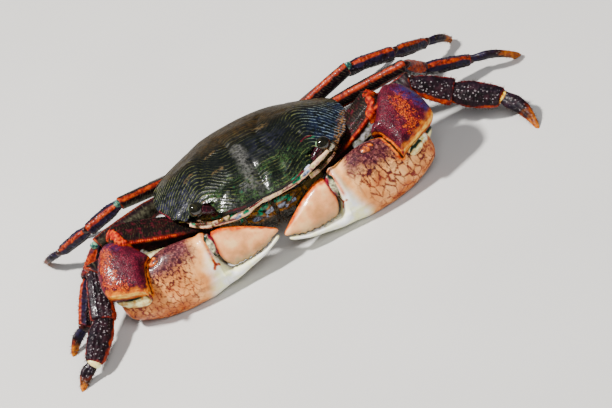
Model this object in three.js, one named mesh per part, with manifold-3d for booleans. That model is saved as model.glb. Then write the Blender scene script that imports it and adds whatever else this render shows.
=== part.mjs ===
// A large striped shore crab, life size, standing on eight feet with both claws folded in front
// of its mouth and resting on their lower edges. Millimetres; +Z is up, the crab faces -Y and its
// own left side is +X. Each hard piece of the shell is one closed solid.

import * as THREE from 'three';
import { mergeVertices } from 'three/addons/utils/BufferGeometryUtils.js';
import Module from 'manifold-3d';

const wasm = await Module();
wasm.setup();

// ---- Driving dimensions (mm) ----

const GAP = 0.3; // clearance between neighbouring shell pieces
const FLOOR = 0; // the level of every foot and of the claws' lower edges

// Carapace: half of its margin seen from above, from the middle of the front round to the middle
// of the back, as [x, y, z]. The notch after the front's corner is the orbit.
const MARGIN = [
  [0, -13.8, 13.2],
  [3.4, -13.75, 13.3],
  [6.6, -13.4, 13.4],
  [9.3, -12.5, 13.4],
  [9.9, -10.9, 13.5],
  [10.4, -8.9, 13.7],
  [12.2, -7.9, 13.9],
  [14.2, -8.0, 13.6],
  [14.9, -8.8, 13.3],
  [15.7, -9.5, 13.1],
  [16.7, -7.9, 13.0],
  [18.0, -6.9, 13.0],
  [18.5, -5.2, 13.0],
  [19.3, -3.1, 13.0],
  [19.65, -0.6, 13.0],
  [19.3, 2.5, 12.7],
  [18.3, 5.6, 12.3],
  [15.8, 9.8, 11.0],
  [12.4, 14.0, 9.6],
  [8.0, 16.9, 9.0],
  [0, 17.9, 8.9],
];
const ORBIT_FIRST = 4; // the margin's points that lie in the orbit's notch
const ORBIT_LAST = 8;
const BODY_CENTRE_Y = 0.5;
const CARAPACE_TOP = 16.7;
const CARAPACE_ROUNDNESS = 2.2;
const TOP_RINGS = [0.14, 0.36, 0.56, 0.74, 0.88, 0.96];
// The carapace's folded side: [share of the margin, share of the way down to the suture]
const WALL_RINGS = [[0.965, 0.2], [0.9, 0.42], [0.84, 0.62]];
const SUTURE_SHARE = 0.73; // where the folded side meets the underside
const SUTURE_Z = 7.9; // under the body's middle
const SUTURE_SLOPE = -0.07; // its fall towards the back
// Thorax: [share of the margin, share of the way down to its lowest level]
const THORAX_RINGS = [[0.7, 0.35], [0.63, 0.7], [0.5, 1]];
const THORAX_Z = 3.7;

// Abdomen, folded under the thorax: [y, z of its upper face, half width]
const ABDOMEN = [[9.4, 3.3, 3.4], [7, 3.3, 4.6], [3.5, 3.3, 3.8], [0, 3.3, 2.5], [-3.6, 3.3, 1.0]];
const ABDOMEN_THICKNESS = 0.9;

// Eyes
const EYE_CENTRE = [13.1, -9.6, 14.5];
const EYE_RADIUS = 1.2;
const STALK_FOOT = [10.75, -10.5, 13.5];
const STALK_RADIUS = 0.72;

// Antennae and mouth plates
const ANTENNA = [[8.2, -13.2, 11.9], [10.4, -12.9, 12.1], [12.6, -12.1, 12.4], [14.4, -11.1, 12.7]];
const ANTENNA_RADIUS = [0.55, 0.4, 0.3, 0.26];
const MOUTH_PLATE = [
  [0.3, -12.2, 10.3],
  [3.2, -12.4, 10.6],
  [5.9, -11.9, 9.9],
  [5.6, -11.5, 7.0],
  [3.7, -11.2, 4.9],
  [0.4, -11.3, 4.3],
];
const MOUTH_PLATE_BULGE = 0.65;
const MOUTH_PLATE_DEPTH = 0.45;

// Palm with its fixed finger: [distance from the wrist, top edge, bottom edge, half thickness]
const PALM = [
  [0, 1.2, -1.2, 1.0],
  [1.0, 3.4, -2.9, 2.3],
  [3.4, 4.4, -4.4, 3.1],
  [7.2, 5.3, -5.6, 3.6],
  [12, 6.3, -6.1, 3.8],
  [16, 5.9, -6.0, 3.5],
  [19.6, 5.4, -5.3, 2.9],
  [20.1, -0.6, -5.2, 2.5],
  [21.8, -2.9, -4.95, 1.9],
  [25, -2.85, -4.15, 1.5],
  [28.6, -2.3, -3.1, 1.15],
  [31.8, -0.95, -1.75, 0.7],
];
// Movable finger: the same four numbers
const FINGER = [
  [20.5, 5.0, -0.25, 2.3],
  [22.2, 5.0, -2.5, 2.3],
  [25, 4.1, -2.5, 2.0],
  [28.6, 2.2, -1.95, 1.45],
  [31.0, 0.75, -0.95, 0.9],
  [32.2, 0.0, -0.6, 0.45],
];

// Claw arms in the pose, one for each side. The wrist is the palm's outer end, corners run round
// the carpus's upper face: rear, outer rear, outer, tooth, inner, elbow. The palm's top edge
// leans back towards the mouth.
const CLAWS = {
  left: {
    wrist: [31.1, -11.2, 5.6],
    tip: [-0.9, -16.2, 5.3],
    lean: THREE.MathUtils.degToRad(20),
    carpus: [
      [27.8, -3.4, 15.3],
      [31.8, -5.4, 12.9],
      [34.0, -9.7, 9.6],
      [26.0, -16.6, 9.0],
      [22.2, -9.2, 11.5],
      [24.2, -4.6, 13.9],
    ],
    shoulder: [10.8, -6.2, 6.4],
    elbow: [25.2, -4.8, 12.0],
  },
  right: {
    wrist: [-33.3, -12.3, 4.6],
    tip: [0.2, -15.9, 6.9],
    lean: THREE.MathUtils.degToRad(24),
    carpus: [
      [-31.6, -6.4, 14.2],
      [-33.7, -8.9, 12.5],
      [-34.5, -13.4, 9.0],
      [-27.2, -18.5, 8.5],
      [-24.2, -11.0, 11.2],
      [-28.0, -5.8, 13.5],
    ],
    shoulder: [-10.8, -6.2, 6.4],
    elbow: [-27.0, -6.0, 11.6],
  },
};
const CARPUS_DOME = 2.0;
const CARPUS_DEPTH = 4.6;
// Arm (ischium and merus): [share of its length, half height, half width]
const ARM = [[0, 1.7, 1.7], [0.25, 2.1, 2.1], [0.6, 3.0, 3.0], [0.9, 3.3, 3.4], [1, 2.6, 2.8]];

// Walking legs in the pose, first to fourth pair: hip, knee, wrist, ankle and tip
const LEGS = {
  left: [
    [[12.6, -1.8, 6.2], [32.8, -0.2, 10.9], [39.1, -3.6, 7.2], [46.5, -7.9, 4.2], [49.5, -15.4, 0]],
    [[12.8, 3.2, 6.2], [32.9, 3.2, 13.0], [36.0, 8.1, 7.1], [45.1, 8.5, 3.8], [53.0, 7.7, 0]],
    [[11.6, 7.6, 6.0], [24.0, 13.6, 11.4], [32.8, 14.3, 9.2], [39.2, 18.6, 5.0], [43.9, 22.6, 0]],
    [[9.4, 11.4, 5.8], [17.8, 18.4, 6.8], [23.2, 21.6, 5.2], [28.6, 24.8, 2.8], [32.6, 27.6, 0]],
  ],
  right: [
    [[-12.6, -1.8, 6.2], [-35.2, -6.1, 9.5], [-37.4, -13.9, 4.8], [-42.3, -21.8, 3.0], [-46.2, -23.6, 0]],
    [[-12.8, 3.2, 6.2], [-32.3, -0.7, 11.4], [-36.9, -0.4, 5.4], [-41.4, -10.2, 2.8], [-45.2, -12.4, 0]],
    [[-11.6, 7.6, 6.0], [-25.7, 8.8, 11.0], [-33.0, 9.4, 8.6], [-39.5, 12.4, 5.0], [-43.2, 18.3, 0]],
    [[-9.4, 11.4, 5.8], [-19.4, 15.2, 6.8], [-25.6, 17.4, 5.2], [-31.6, 19.2, 2.8], [-36.4, 20.8, 0]],
  ],
};
// Leg segments: [share of the length, half height, half thickness] for the largest leg
const LEG_SECTIONS = {
  merus: [[0, 1.5, 1.35], [0.3, 1.7, 1.3], [0.6, 2.8, 1.4], [0.88, 2.6, 1.35], [1, 2.1, 1.25]],
  carpus: [[0, 1.6, 1.2], [0.35, 2.1, 1.35], [0.85, 2.45, 1.3], [1, 2.2, 1.2]],
  propodus: [[0, 2.1, 1.15], [0.35, 2.4, 1.2], [0.8, 2.1, 1.05], [1, 1.5, 0.95]],
  dactyl: [[0, 1.25, 0.85], [0.3, 1.05, 0.75], [0.6, 0.85, 0.65], [0.85, 0.6, 0.5], [1, 0.34, 0.34]],
};
const DACTYL_ARCH = 0.13; // rise of the last segment's middle over its chord, as a share of its length
const LEG_SCALE = [1, 1, 0.95, 0.7]; // each pair's girth beside the largest
const LEG_SIDES = 8;
const LEG_SQUARENESS = 1.05;
const RING_SPACING = 0.25; // least distance between a leg's rings beside a sharp mitre
const CLAW_SIDES = 14;
const CLAW_SQUARENESS = 0.85;

// ---- Materials ----

const COLOURS = {
  carapace: 0x1d2a22,
  underside: 0xb9a77c,
  arm: 0x5a1d1f,
  carpus: 0x7d2440,
  palm: 0xd08a76,
  finger: 0xe6b9a2,
  leg: 0x3a1f2b,
  dactyl: 0xb4622c,
  eye: 0x120d0b,
  stalk: 0x6a2a33,
  mouth: 0x8f6a4c,
  antenna: 0x6e5a3a,
};

/** Shell material in one of the crab's colours. */
function shell(colour, roughness = 0.35) {
  return new THREE.MeshStandardMaterial({ color: COLOURS[colour], roughness, metalness: 0 });
}

// ---- Solids from rings ----

const vector = (array) => new THREE.Vector3(...array);

/** The mean of a list of points. */
function middleOf(points) {
  return points.reduce((sum, p) => sum.add(p), new THREE.Vector3()).divideScalar(points.length);
}

/** Signed volume of an indexed triangle list, positive when its faces point out. */
function signedVolume(points, indices) {
  let volume = 0;
  for (let i = 0; i < indices.length; i += 3) {
    const [a, b, c] = [points[indices[i]], points[indices[i + 1]], points[indices[i + 2]]];
    volume += a.dot(b.clone().cross(c)) / 6;
  }
  return volume;
}

/** A closed solid through rings of equally many points, each end closed by a fan. */
function solidFromRings(rings) {
  const size = rings[0].length;
  const points = rings.flat();
  const indices = [];
  for (let r = 0; r + 1 < rings.length; r += 1) {
    for (let i = 0; i < size; i += 1) {
      const a = r * size + i;
      const b = r * size + ((i + 1) % size);
      indices.push(a, b, b + size, a, b + size, a + size);
    }
  }
  for (const ring of [0, rings.length - 1]) {
    const centre = points.length;
    points.push(middleOf(rings[ring]));
    for (let i = 0; i < size; i += 1) {
      const a = ring * size + i;
      const b = ring * size + ((i + 1) % size);
      indices.push(...(ring === 0 ? [b, a, centre] : [a, b, centre]));
    }
  }
  if (signedVolume(points, indices) < 0) indices.reverse();
  const geometry = new THREE.BufferGeometry();
  const coordinates = points.flatMap((p) => p.toArray());
  geometry.setAttribute('position', new THREE.Float32BufferAttribute(coordinates, 3));
  geometry.setIndex(indices);
  return geometry;
}

/** The geometry as a solid that can be joined and cut. */
function toSolid(geometry) {
  const bare = geometry.clone();
  bare.deleteAttribute('normal');
  bare.deleteAttribute('uv');
  const merged = mergeVertices(bare);
  return new wasm.Manifold(new wasm.Mesh({
    numProp: 3,
    vertProperties: new Float32Array(merged.attributes.position.array),
    triVerts: new Uint32Array(merged.index.array),
  }));
}

/** The geometry with every cutter taken away from it. */
function cutBy(geometry, cutters) {
  const solid = cutters.reduce((rest, cutter) => rest.subtract(toSolid(cutter)), toSolid(geometry));
  const mesh = solid.getMesh();
  const result = new THREE.BufferGeometry();
  result.setAttribute('position', new THREE.Float32BufferAttribute(mesh.vertProperties, 3));
  result.setIndex([...mesh.triVerts]);
  return result;
}

/** A rounded section with the given half width and half height; a low exponent makes it squarer. */
function section(centre, side, up, halfWidth, halfHeight, sides, exponent = CLAW_SQUARENESS) {
  const ring = [];
  for (let i = 0; i < sides; i += 1) {
    const angle = (2 * Math.PI * i) / sides;
    const across = Math.sign(Math.cos(angle)) * Math.abs(Math.cos(angle)) ** exponent * halfWidth;
    const along = Math.sign(Math.sin(angle)) * Math.abs(Math.sin(angle)) ** exponent * halfHeight;
    ring.push(centre.clone().addScaledVector(side, across).addScaledVector(up, along));
  }
  return ring;
}

/** Points of a ring raised to the floor where they would pass under it. */
function standOnFloor(ring) {
  return ring.map((p) => new THREE.Vector3(p.x, p.y, Math.max(p.z, FLOOR)));
}

// ---- Body ----

/** Half a margin and its mirror image, from the front's middle round the left side and back. */
function bothHalves(half) {
  const left = half.map(([x, y, z]) => ({ x, y, z }));
  const right = left.slice(1, -1).reverse().map((p) => ({ ...p, x: -p.x }));
  return [...left, ...right];
}

/** The margin with its orbits closed by the straight line from the front's corner to the tooth. */
function closedMargin() {
  const corner = MARGIN[ORBIT_FIRST - 1];
  const tooth = MARGIN[ORBIT_LAST + 1];
  const steps = ORBIT_LAST - ORBIT_FIRST + 2;
  const straight = MARGIN.map((point, i) => {
    if (i < ORBIT_FIRST || i > ORBIT_LAST) return point;
    const share = (i - ORBIT_FIRST + 1) / steps;
    return point.map((_, axis) => corner[axis] + (tooth[axis] - corner[axis]) * share);
  });
  return bothHalves(straight);
}

/** One ring of the body: the margin shrunk towards the body's middle, at the heights that z gives. */
function bodyRing(margin, share, z, grow = 0) {
  return margin.map((p) => {
    const flat = new THREE.Vector2(p.x, p.y - BODY_CENTRE_Y);
    const point = flat.multiplyScalar(share).addScaledVector(flat.clone().normalize(), grow);
    return new THREE.Vector3(point.x, point.y + BODY_CENTRE_Y, z(p, point.y + BODY_CENTRE_Y));
  });
}

/** Height of the sloping plane in which the carapace's folded side meets the underside. */
function sutureHeight(y) {
  return SUTURE_Z + SUTURE_SLOPE * y;
}

/** Carapace: the domed back, its sharp margin, and its sides folded under as far as the suture. */
function carapace(grow = 0) {
  const margin = bothHalves(MARGIN);
  const closed = closedMargin();
  const dome = (share) => (p) => p.z + (CARAPACE_TOP - p.z) * (1 - share ** CARAPACE_ROUNDNESS) + grow;
  const top = TOP_RINGS.map((share) => bodyRing(margin, share, dome(share), grow));
  const rim = bodyRing(margin, 1, (p) => p.z, grow);
  const wall = WALL_RINGS.map(([share, drop], i) => {
    const height = (p) => THREE.MathUtils.lerp(p.z, sutureHeight(p.y), drop) - grow * drop;
    return bodyRing(i === 0 ? margin : closed, share, height, grow);
  });
  const suture = bodyRing(closed, SUTURE_SHARE, (_, y) => sutureHeight(y) - grow, grow);
  return solidFromRings([...top, rim, ...wall, suture]);
}

/** Thorax: the underside between the suture and the breast plate, which the legs spring from. */
function thorax(grow = 0) {
  const closed = closedMargin();
  const top = bodyRing(closed, SUTURE_SHARE, (_, y) => sutureHeight(y) - GAP + grow, grow);
  const rings = THORAX_RINGS.map(([share, drop]) => {
    const height = (_, y) => THREE.MathUtils.lerp(sutureHeight(y) - GAP, THORAX_Z, drop) - grow;
    return bodyRing(closed, share, height, grow);
  });
  return solidFromRings([top, ...rings]);
}

/** Abdomen: a narrow jointed plate folded flat under the thorax. */
function abdomen() {
  const rings = ABDOMEN.map(([y, z, halfWidth]) => {
    const centre = new THREE.Vector3(0, y, z - ABDOMEN_THICKNESS / 2);
    const half = ABDOMEN_THICKNESS / 2;
    return section(centre, vector([1, 0, 0]), vector([0, 0, 1]), halfWidth, half, LEG_SIDES);
  });
  return solidFromRings(rings);
}

// ---- Head ----

const mirror = (array, sideSign) => [array[0] * sideSign, array[1], array[2]];

/** A round tapered rod through points, with one radius for each point. */
function rod(points, radii, sides) {
  const rings = points.map((point, i) => {
    const ahead = points[Math.min(i + 1, points.length - 1)];
    const behind = points[Math.max(i - 1, 0)];
    const axis = ahead.clone().sub(behind).normalize();
    const side = new THREE.Vector3(0, 0, 1).cross(axis).normalize();
    const up = axis.clone().cross(side);
    return section(point, side, up, radii[i], radii[i], sides, 1);
  });
  return solidFromRings(rings);
}

/** Eyestalk: from the orbit's inner corner out to the eye. */
function eyestalk(sideSign) {
  const foot = vector(mirror(STALK_FOOT, sideSign));
  const eye = vector(mirror(EYE_CENTRE, sideSign));
  const reach = foot.distanceTo(eye) - EYE_RADIUS - GAP;
  const head = foot.clone().lerp(eye, reach / foot.distanceTo(eye));
  return rod([foot, head], [STALK_RADIUS, STALK_RADIUS * 1.1], LEG_SIDES);
}

/** Eye: a round cornea. */
function eye(sideSign) {
  const ball = new THREE.SphereGeometry(EYE_RADIUS, 16, 10);
  return ball.translate(...mirror(EYE_CENTRE, sideSign));
}

/** Antenna: a short tapered feeler under the orbit. */
function antenna(sideSign) {
  return rod(ANTENNA.map((p) => vector(mirror(p, sideSign))), ANTENNA_RADIUS, LEG_SIDES);
}

/** A cushion-shaped solid on a closed outline: domed along the normal, with a depth behind it. */
function plate(outline, normal, dome, depth, rings = 3) {
  const centre = middleOf(outline);
  const ringAt = (angle, height) => outline.map((p) => {
    return centre.clone().lerp(p, Math.cos(angle)).addScaledVector(normal, Math.sin(angle) * height);
  });
  const steps = [];
  for (let k = rings; k >= 0; k -= 1) steps.push(ringAt((k / (rings + 0.6)) * (Math.PI / 2), dome));
  for (let k = 1; k <= rings; k += 1) steps.push(ringAt((k / (rings + 0.6)) * (Math.PI / 2), -depth));
  return solidFromRings(steps);
}

/** A closed outline with blunted corners: each corner gives one point, and two on its sides. */
function roundedOutline(corners, roundness = 0.28) {
  const points = [];
  corners.forEach((corner, i) => {
    const before = corners[(i + corners.length - 1) % corners.length];
    const after = corners[(i + 1) % corners.length];
    const chord = before.clone().add(after).divideScalar(2);
    points.push(corner.clone().lerp(before, roundness), corner.clone().lerp(chord, roundness / 4));
    points.push(corner.clone().lerp(after, roundness));
  });
  return points;
}

/** Mouth plate: one of the two outer jaws that close the mouth like a pair of doors. */
function mouthPlate(sideSign) {
  const corners = MOUTH_PLATE.map((p) => vector(mirror(p, sideSign)));
  return plate(roundedOutline(corners), vector([0, -1, 0]), MOUTH_PLATE_BULGE, MOUTH_PLATE_DEPTH, 2);
}

// ---- Claws ----

/** The claw's own frame: along runs from wrist to tip, up to its top edge, out to its outer face. */
function clawFrame(claw) {
  const origin = vector(claw.wrist);
  const along = vector(claw.tip).sub(origin).normalize();
  const lean = vector([0, Math.sin(claw.lean), Math.cos(claw.lean)]);
  const out = along.clone().cross(lean).normalize();
  if (out.y > 0) out.negate();
  const up = out.clone().cross(along).normalize();
  if (up.z < 0) up.negate();
  return { origin, along, up, out };
}

/** A palm or a finger, from its table of sections, optionally swollen by a clearance. */
function clawPiece(claw, table, grow = 0) {
  const frame = clawFrame(claw);
  const last = table.length - 1;
  const rings = table.map(([distance, top, bottom, half], i) => {
    const ends = { 0: -grow, [last]: grow };
    const shift = ends[i] ?? 0;
    const centre = frame.origin.clone()
      .addScaledVector(frame.along, distance + shift)
      .addScaledVector(frame.up, (top + bottom) / 2);
    const reach = (top - bottom) / 2 + grow;
    return section(centre, frame.out, frame.up, half + grow, reach, CLAW_SIDES);
  });
  return solidFromRings(rings.map(standOnFloor));
}

/** Carpus: the block between the arm and the palm, under its five-sided upper face. */
function carpus(claw, grow = 0) {
  const corners = claw.carpus.map(vector);
  const centre = middleOf(corners);
  const normal = new THREE.Vector3();
  corners.forEach((p, i) => {
    const next = corners[(i + 1) % corners.length];
    normal.add(p.clone().sub(centre).cross(next.clone().sub(centre)));
  });
  normal.normalize();
  if (normal.z < 0) normal.negate();
  const grown = corners.map((p) => p.clone().addScaledVector(p.clone().sub(centre).normalize(), grow));
  return plate(roundedOutline(grown), normal, CARPUS_DOME + grow, CARPUS_DEPTH + grow);
}

/** Arm: ischium and merus in one, from the body to the elbow. */
function arm(claw, grow = 0) {
  const start = vector(claw.shoulder);
  const axis = vector(claw.elbow).sub(start);
  const along = axis.clone().normalize();
  const side = vector([0, 0, 1]).cross(along).normalize();
  const up = along.clone().cross(side);
  const rings = ARM.map(([share, halfHeight, halfWidth]) => {
    const centre = start.clone().addScaledVector(axis, share);
    return section(centre, side, up, halfWidth + grow, halfHeight + grow, CLAW_SIDES);
  });
  return solidFromRings(rings);
}

// ---- Walking legs ----

/** The plane in which two segments meet: through their joint, halfway between their directions. */
function mitre(joint, before, after) {
  return { point: joint, normal: before.clone().add(after).normalize() };
}

/** One leg segment between two cutting planes, keeping half the clearance to each of them. */
function legSegment(start, end, across, table, scale, arch, planes) {
  const axis = end.clone().sub(start);
  const along = axis.clone().normalize();
  const side = across.clone().addScaledVector(along, -across.dot(along)).normalize();
  const up = side.clone().cross(along).normalize();
  if (up.z < 0) up.negate();
  const count = table.length - 1;
  const rings = table.map(([share, halfHeight, halfThickness], k) => {
    const rise = arch * Math.sin(Math.PI * share);
    const centre = start.clone().addScaledVector(axis, share).addScaledVector(up, rise);
    const [halfWidth, half] = [halfThickness * scale, halfHeight * scale];
    const ring = section(centre, side, up, halfWidth, half, LEG_SIDES, LEG_SQUARENESS);
    return ring.map((point) => {
      const place = point.clone().sub(start).dot(along);
      const foot = point.clone().addScaledVector(along, -place);
      const cut = (plane, gap) => {
        return (plane.point.clone().sub(foot).dot(plane.normal) + gap) / along.dot(plane.normal);
      };
      const lowest = cut(planes[0], GAP / 2) + k * RING_SPACING;
      const highest = cut(planes[1], planes[1].floor ? 0 : -GAP / 2) - (count - k) * RING_SPACING;
      const wanted = k === 0 ? lowest : k === count ? highest : Math.min(Math.max(place, lowest), highest);
      return foot.addScaledVector(along, wanted);
    });
  });
  return solidFromRings(rings);
}

/** The four segments of one walking leg, mitred at each joint and cut flat at the floor. */
function legSegments(leg, scale) {
  const joints = leg.map(vector);
  const ways = joints.slice(1).map((joint, i) => joint.clone().sub(joints[i]).normalize());
  const across = ways[0].clone().cross(joints[3].clone().sub(joints[1])).normalize();
  const planes = [
    { point: joints[0], normal: ways[0] },
    mitre(joints[1], ways[0], ways[1]),
    mitre(joints[2], ways[1], ways[2]),
    mitre(joints[3], ways[2], ways[3]),
    { point: joints[4], normal: vector([0, 0, -1]), floor: true },
  ];
  return Object.entries(LEG_SECTIONS).map(([name, table], i) => {
    const arch = name === 'dactyl' ? DACTYL_ARCH * joints[i].distanceTo(joints[i + 1]) : 0;
    const ends = [planes[i], planes[i + 1]];
    const geometry = legSegment(joints[i], joints[i + 1], across, table, scale, arch, ends);
    return { name, geometry };
  });
}

// ---- Assembly ----

const crab = new THREE.Group();

/** Adds one named piece to the crab. */
function add(name, geometry, material) {
  const mesh = new THREE.Mesh(geometry, material);
  mesh.name = name;
  crab.add(mesh);
}

const bodyCutters = [carapace(GAP), thorax(GAP)];

add('carapace', carapace(), shell('carapace', 0.2));
add('thorax', thorax(), shell('underside', 0.5));
add('abdomen', abdomen(), shell('underside', 0.5));

for (const [sideName, sideSign] of [['left', 1], ['right', -1]]) {
  const claw = CLAWS[sideName];
  add(`eyestalk_${sideName}`, eyestalk(sideSign), shell('stalk'));
  add(`eye_${sideName}`, eye(sideSign), shell('eye', 0.1));
  add(`antenna_${sideName}`, antenna(sideSign), shell('antenna'));
  add(`mouth_plate_${sideName}`, mouthPlate(sideSign), shell('mouth'));

  const palmCutter = clawPiece(claw, PALM, GAP);
  add(`claw_palm_${sideName}`, clawPiece(claw, PALM), shell('palm'));
  add(`claw_finger_${sideName}`, clawPiece(claw, FINGER), shell('finger'));
  add(`claw_carpus_${sideName}`, cutBy(carpus(claw), [palmCutter]), shell('carpus'));
  const carpusCutter = carpus(claw, GAP);
  add(`claw_arm_${sideName}`, cutBy(arm(claw), [...bodyCutters, carpusCutter, palmCutter]), shell('arm'));
  const legCutters = [...bodyCutters, carpusCutter, arm(claw, GAP)];

  LEGS[sideName].forEach((leg, i) => {
    for (const { name, geometry } of legSegments(leg, LEG_SCALE[i])) {
      const solid = name === 'merus' ? cutBy(geometry, legCutters) : geometry;
      add(`leg_${i + 1}_${name}_${sideName}`, solid, shell(name === 'dactyl' ? 'dactyl' : 'leg'));
    }
  });
}

// The origin is on the floor under the middle of the crab's outer box.
const box = new THREE.Box3().setFromObject(crab);
const middle = box.getCenter(new THREE.Vector3());
crab.position.set(-middle.x, -middle.y, -box.min.z);

export default crab;
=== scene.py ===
"""The striped shore crab's looks: each shell piece in full detail, its colours, floor, light and camera."""
import math

import bpy
import numpy as np
from mathutils import Matrix, Vector


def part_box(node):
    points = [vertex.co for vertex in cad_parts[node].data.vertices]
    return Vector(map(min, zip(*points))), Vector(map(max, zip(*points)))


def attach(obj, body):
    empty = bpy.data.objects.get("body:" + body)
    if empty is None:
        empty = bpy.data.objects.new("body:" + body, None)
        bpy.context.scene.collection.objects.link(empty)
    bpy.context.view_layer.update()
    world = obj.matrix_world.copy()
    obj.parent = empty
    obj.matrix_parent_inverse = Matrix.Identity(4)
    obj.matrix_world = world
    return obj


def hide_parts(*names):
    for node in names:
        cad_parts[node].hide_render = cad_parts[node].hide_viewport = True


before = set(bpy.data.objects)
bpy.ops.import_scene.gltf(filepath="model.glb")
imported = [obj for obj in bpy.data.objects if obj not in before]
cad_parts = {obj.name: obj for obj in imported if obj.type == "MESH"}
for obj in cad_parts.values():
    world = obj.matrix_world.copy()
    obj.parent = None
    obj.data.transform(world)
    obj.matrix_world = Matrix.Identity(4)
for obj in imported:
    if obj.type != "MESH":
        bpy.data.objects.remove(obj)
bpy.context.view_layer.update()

TAU = 2 * math.pi
SIDES = ("left", "right")


# ---------------------------------------------------------------- shared frame and camera (mm)

def unit(v):
    v = np.asarray(v, float)
    return v / np.maximum(np.linalg.norm(v, axis=-1, keepdims=True), 1e-12)


EYE = np.array([13.1, -9.6, 14.5])
_boxes = [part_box("eye_left"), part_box("eye_right")]
_middle = sum((np.array(b[0]) + np.array(b[1])) for b in _boxes) / 4 * 1000
SHIFT = _middle - np.array([0, EYE[1], EYE[2]])   # from the crab's own frame to the CAD's, in mm

FRAME_WIDTH = 612
MIDDLE_PX = np.array([306, 204])
ELEVATION = math.radians(35.0)
ROLL = math.radians(27.3)
DISTANCE = 900.0
FOCAL_PX = 4950.0
TARGET = np.array([5.3, -19.25, 11.1])
CAM_D = np.array([0, math.cos(ELEVATION), -math.sin(ELEVATION)])
CAM_U0 = np.array([0, math.sin(ELEVATION), math.cos(ELEVATION)])
CAM_X0 = np.array([1.0, 0, 0])
CAM_R = CAM_X0 * math.cos(ROLL) - CAM_U0 * math.sin(ROLL)
CAM_U = CAM_X0 * math.sin(ROLL) + CAM_U0 * math.cos(ROLL)
CAM_POS = TARGET - CAM_D * DISTANCE


def project(p):
    """Picture coordinates, in the 612 by 408 frame, of points in mm."""
    q = np.asarray(p, float) - CAM_POS
    depth = (q @ CAM_D)[..., None]
    return MIDDLE_PX + FOCAL_PX * np.stack([q @ CAM_R, -(q @ CAM_U)], -1) / depth


def on_plane(pixels, point, normal):
    """The points of a plane that lie under those picture points."""
    q = (np.asarray(pixels, float) - MIDDLE_PX) / FOCAL_PX
    rays = CAM_D + q[:, :1] * CAM_R - q[:, 1:] * CAM_U
    reach = ((point - CAM_POS) @ normal) / (rays @ normal)
    return CAM_POS + rays * reach[:, None]


# ---------------------------------------------------------------- numbers from noise

PRIMES = (73856093, 19349663, 83492791)
MIXERS = (2654435761, 2246822519, 3266489917)
WORD = 0xFFFFFFFF
FRACTION = 0xFFFFFF


def _hash(i, j, k, seed):
    """A fixed number from 0 to 1 for each whole-number place and seed."""
    a, b, c = (q.astype(np.int64) * prime for q, prime in zip((i, j, k), PRIMES))
    n = (a ^ b ^ c ^ (seed * MIXERS[0])) & WORD
    n = ((n ^ (n >> 15)) * MIXERS[1]) & WORD
    n = ((n ^ (n >> 13)) * MIXERS[2]) & WORD
    return ((n ^ (n >> 16)) & FRACTION) / float(FRACTION)


def noise(p, size, seed=0):
    """Smooth noise from -1 to 1 with features of that size in mm."""
    q = np.asarray(p, float) / size
    c = np.floor(q)
    f = q - c
    f = f * f * (3 - 2 * f)
    i, j, k = (c[..., a].astype(np.int64) for a in range(3))
    total = 0
    for di in (0, 1):
        for dj in (0, 1):
            for dk in (0, 1):
                w = np.abs(1 - di - f[..., 0]) * np.abs(1 - dj - f[..., 1]) * np.abs(1 - dk - f[..., 2])
                total = total + w * _hash(i + di, j + dj, k + dk, seed)
    return total * 2 - 1


def fbm(p, size, octaves=3, seed=0):
    total, weight = 0, 0
    for o in range(octaves):
        total = total + noise(p, size / 2 ** o, seed + 17 * o) / 2 ** o
        weight += 1 / 2 ** o
    return total / weight


def cells(p, size, seed=0, jitter=0.9):
    """Distances to the nearest and second nearest scattered points, in units of size."""
    q = np.asarray(p, float) / size
    c = np.floor(q).astype(np.int64)
    f1 = np.full(q.shape[:-1], 9.0)
    f2 = np.full(q.shape[:-1], 9.0)
    for di in (-1, 0, 1):
        for dj in (-1, 0, 1):
            for dk in (-1, 0, 1):
                cell = (c[..., 0] + di, c[..., 1] + dj, c[..., 2] + dk)
                shift = [_hash(*cell, seed + s) for s in (1, 2, 3)]
                gaps = [a + 0.5 + (b - 0.5) * jitter - q[..., n] for n, (a, b) in enumerate(zip(cell, shift))]
                d = np.sqrt(sum(gap ** 2 for gap in gaps))
                f2 = np.where(d < f1, f1, np.minimum(f2, d))
                f1 = np.minimum(f1, d)
    return f1, f2


def grains(p, size, seed, low, high):
    """Round grains: 1 near scattered points and 0 between them; low is the outer edge."""
    return step(low, high, cells(p, size, seed)[0])


def step(low, high, x):
    """Smooth rise from 0 at low to 1 at high; low may be above high."""
    t = np.clip((x - low) / (high - low), 0, 1)
    return t * t * (3 - 2 * t)


def bell(x, middle, width):
    return np.exp(-((x - middle) / width) ** 2)


def curve(xs, ys, x):
    """Monotone smooth interpolation through a table."""
    xs, ys, x = (np.asarray(a, float) for a in (xs, ys, x))
    if ys.ndim > 1:
        return np.stack([curve(xs, ys[:, c], x) for c in range(ys.shape[1])], -1)
    h = np.diff(xs)
    d = np.diff(ys) / h
    product, total = d[:-1] * d[1:], d[:-1] + d[1:]
    m = np.zeros_like(ys)
    m[1:-1] = np.where(product > 0, 2 * product / np.where(np.abs(total) < 1e-12, 1, total), 0)
    m[0], m[-1] = d[0], d[-1]
    k = np.clip(np.searchsorted(xs, x) - 1, 0, len(h) - 1)
    t = np.clip((x - xs[k]) / h[k], 0, 1)
    return ((1 + 2 * t) * (1 - t) ** 2 * ys[k] + t * (1 - t) ** 2 * h[k] * m[k]
            + t * t * (3 - 2 * t) * ys[k + 1] + t * t * (t - 1) * h[k] * m[k + 1])


def table(rows, x):
    """The columns of a table, read at x in its first column."""
    rows = np.asarray(rows, float)
    return curve(rows[:, 0], rows[:, 1:], x).T


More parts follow.
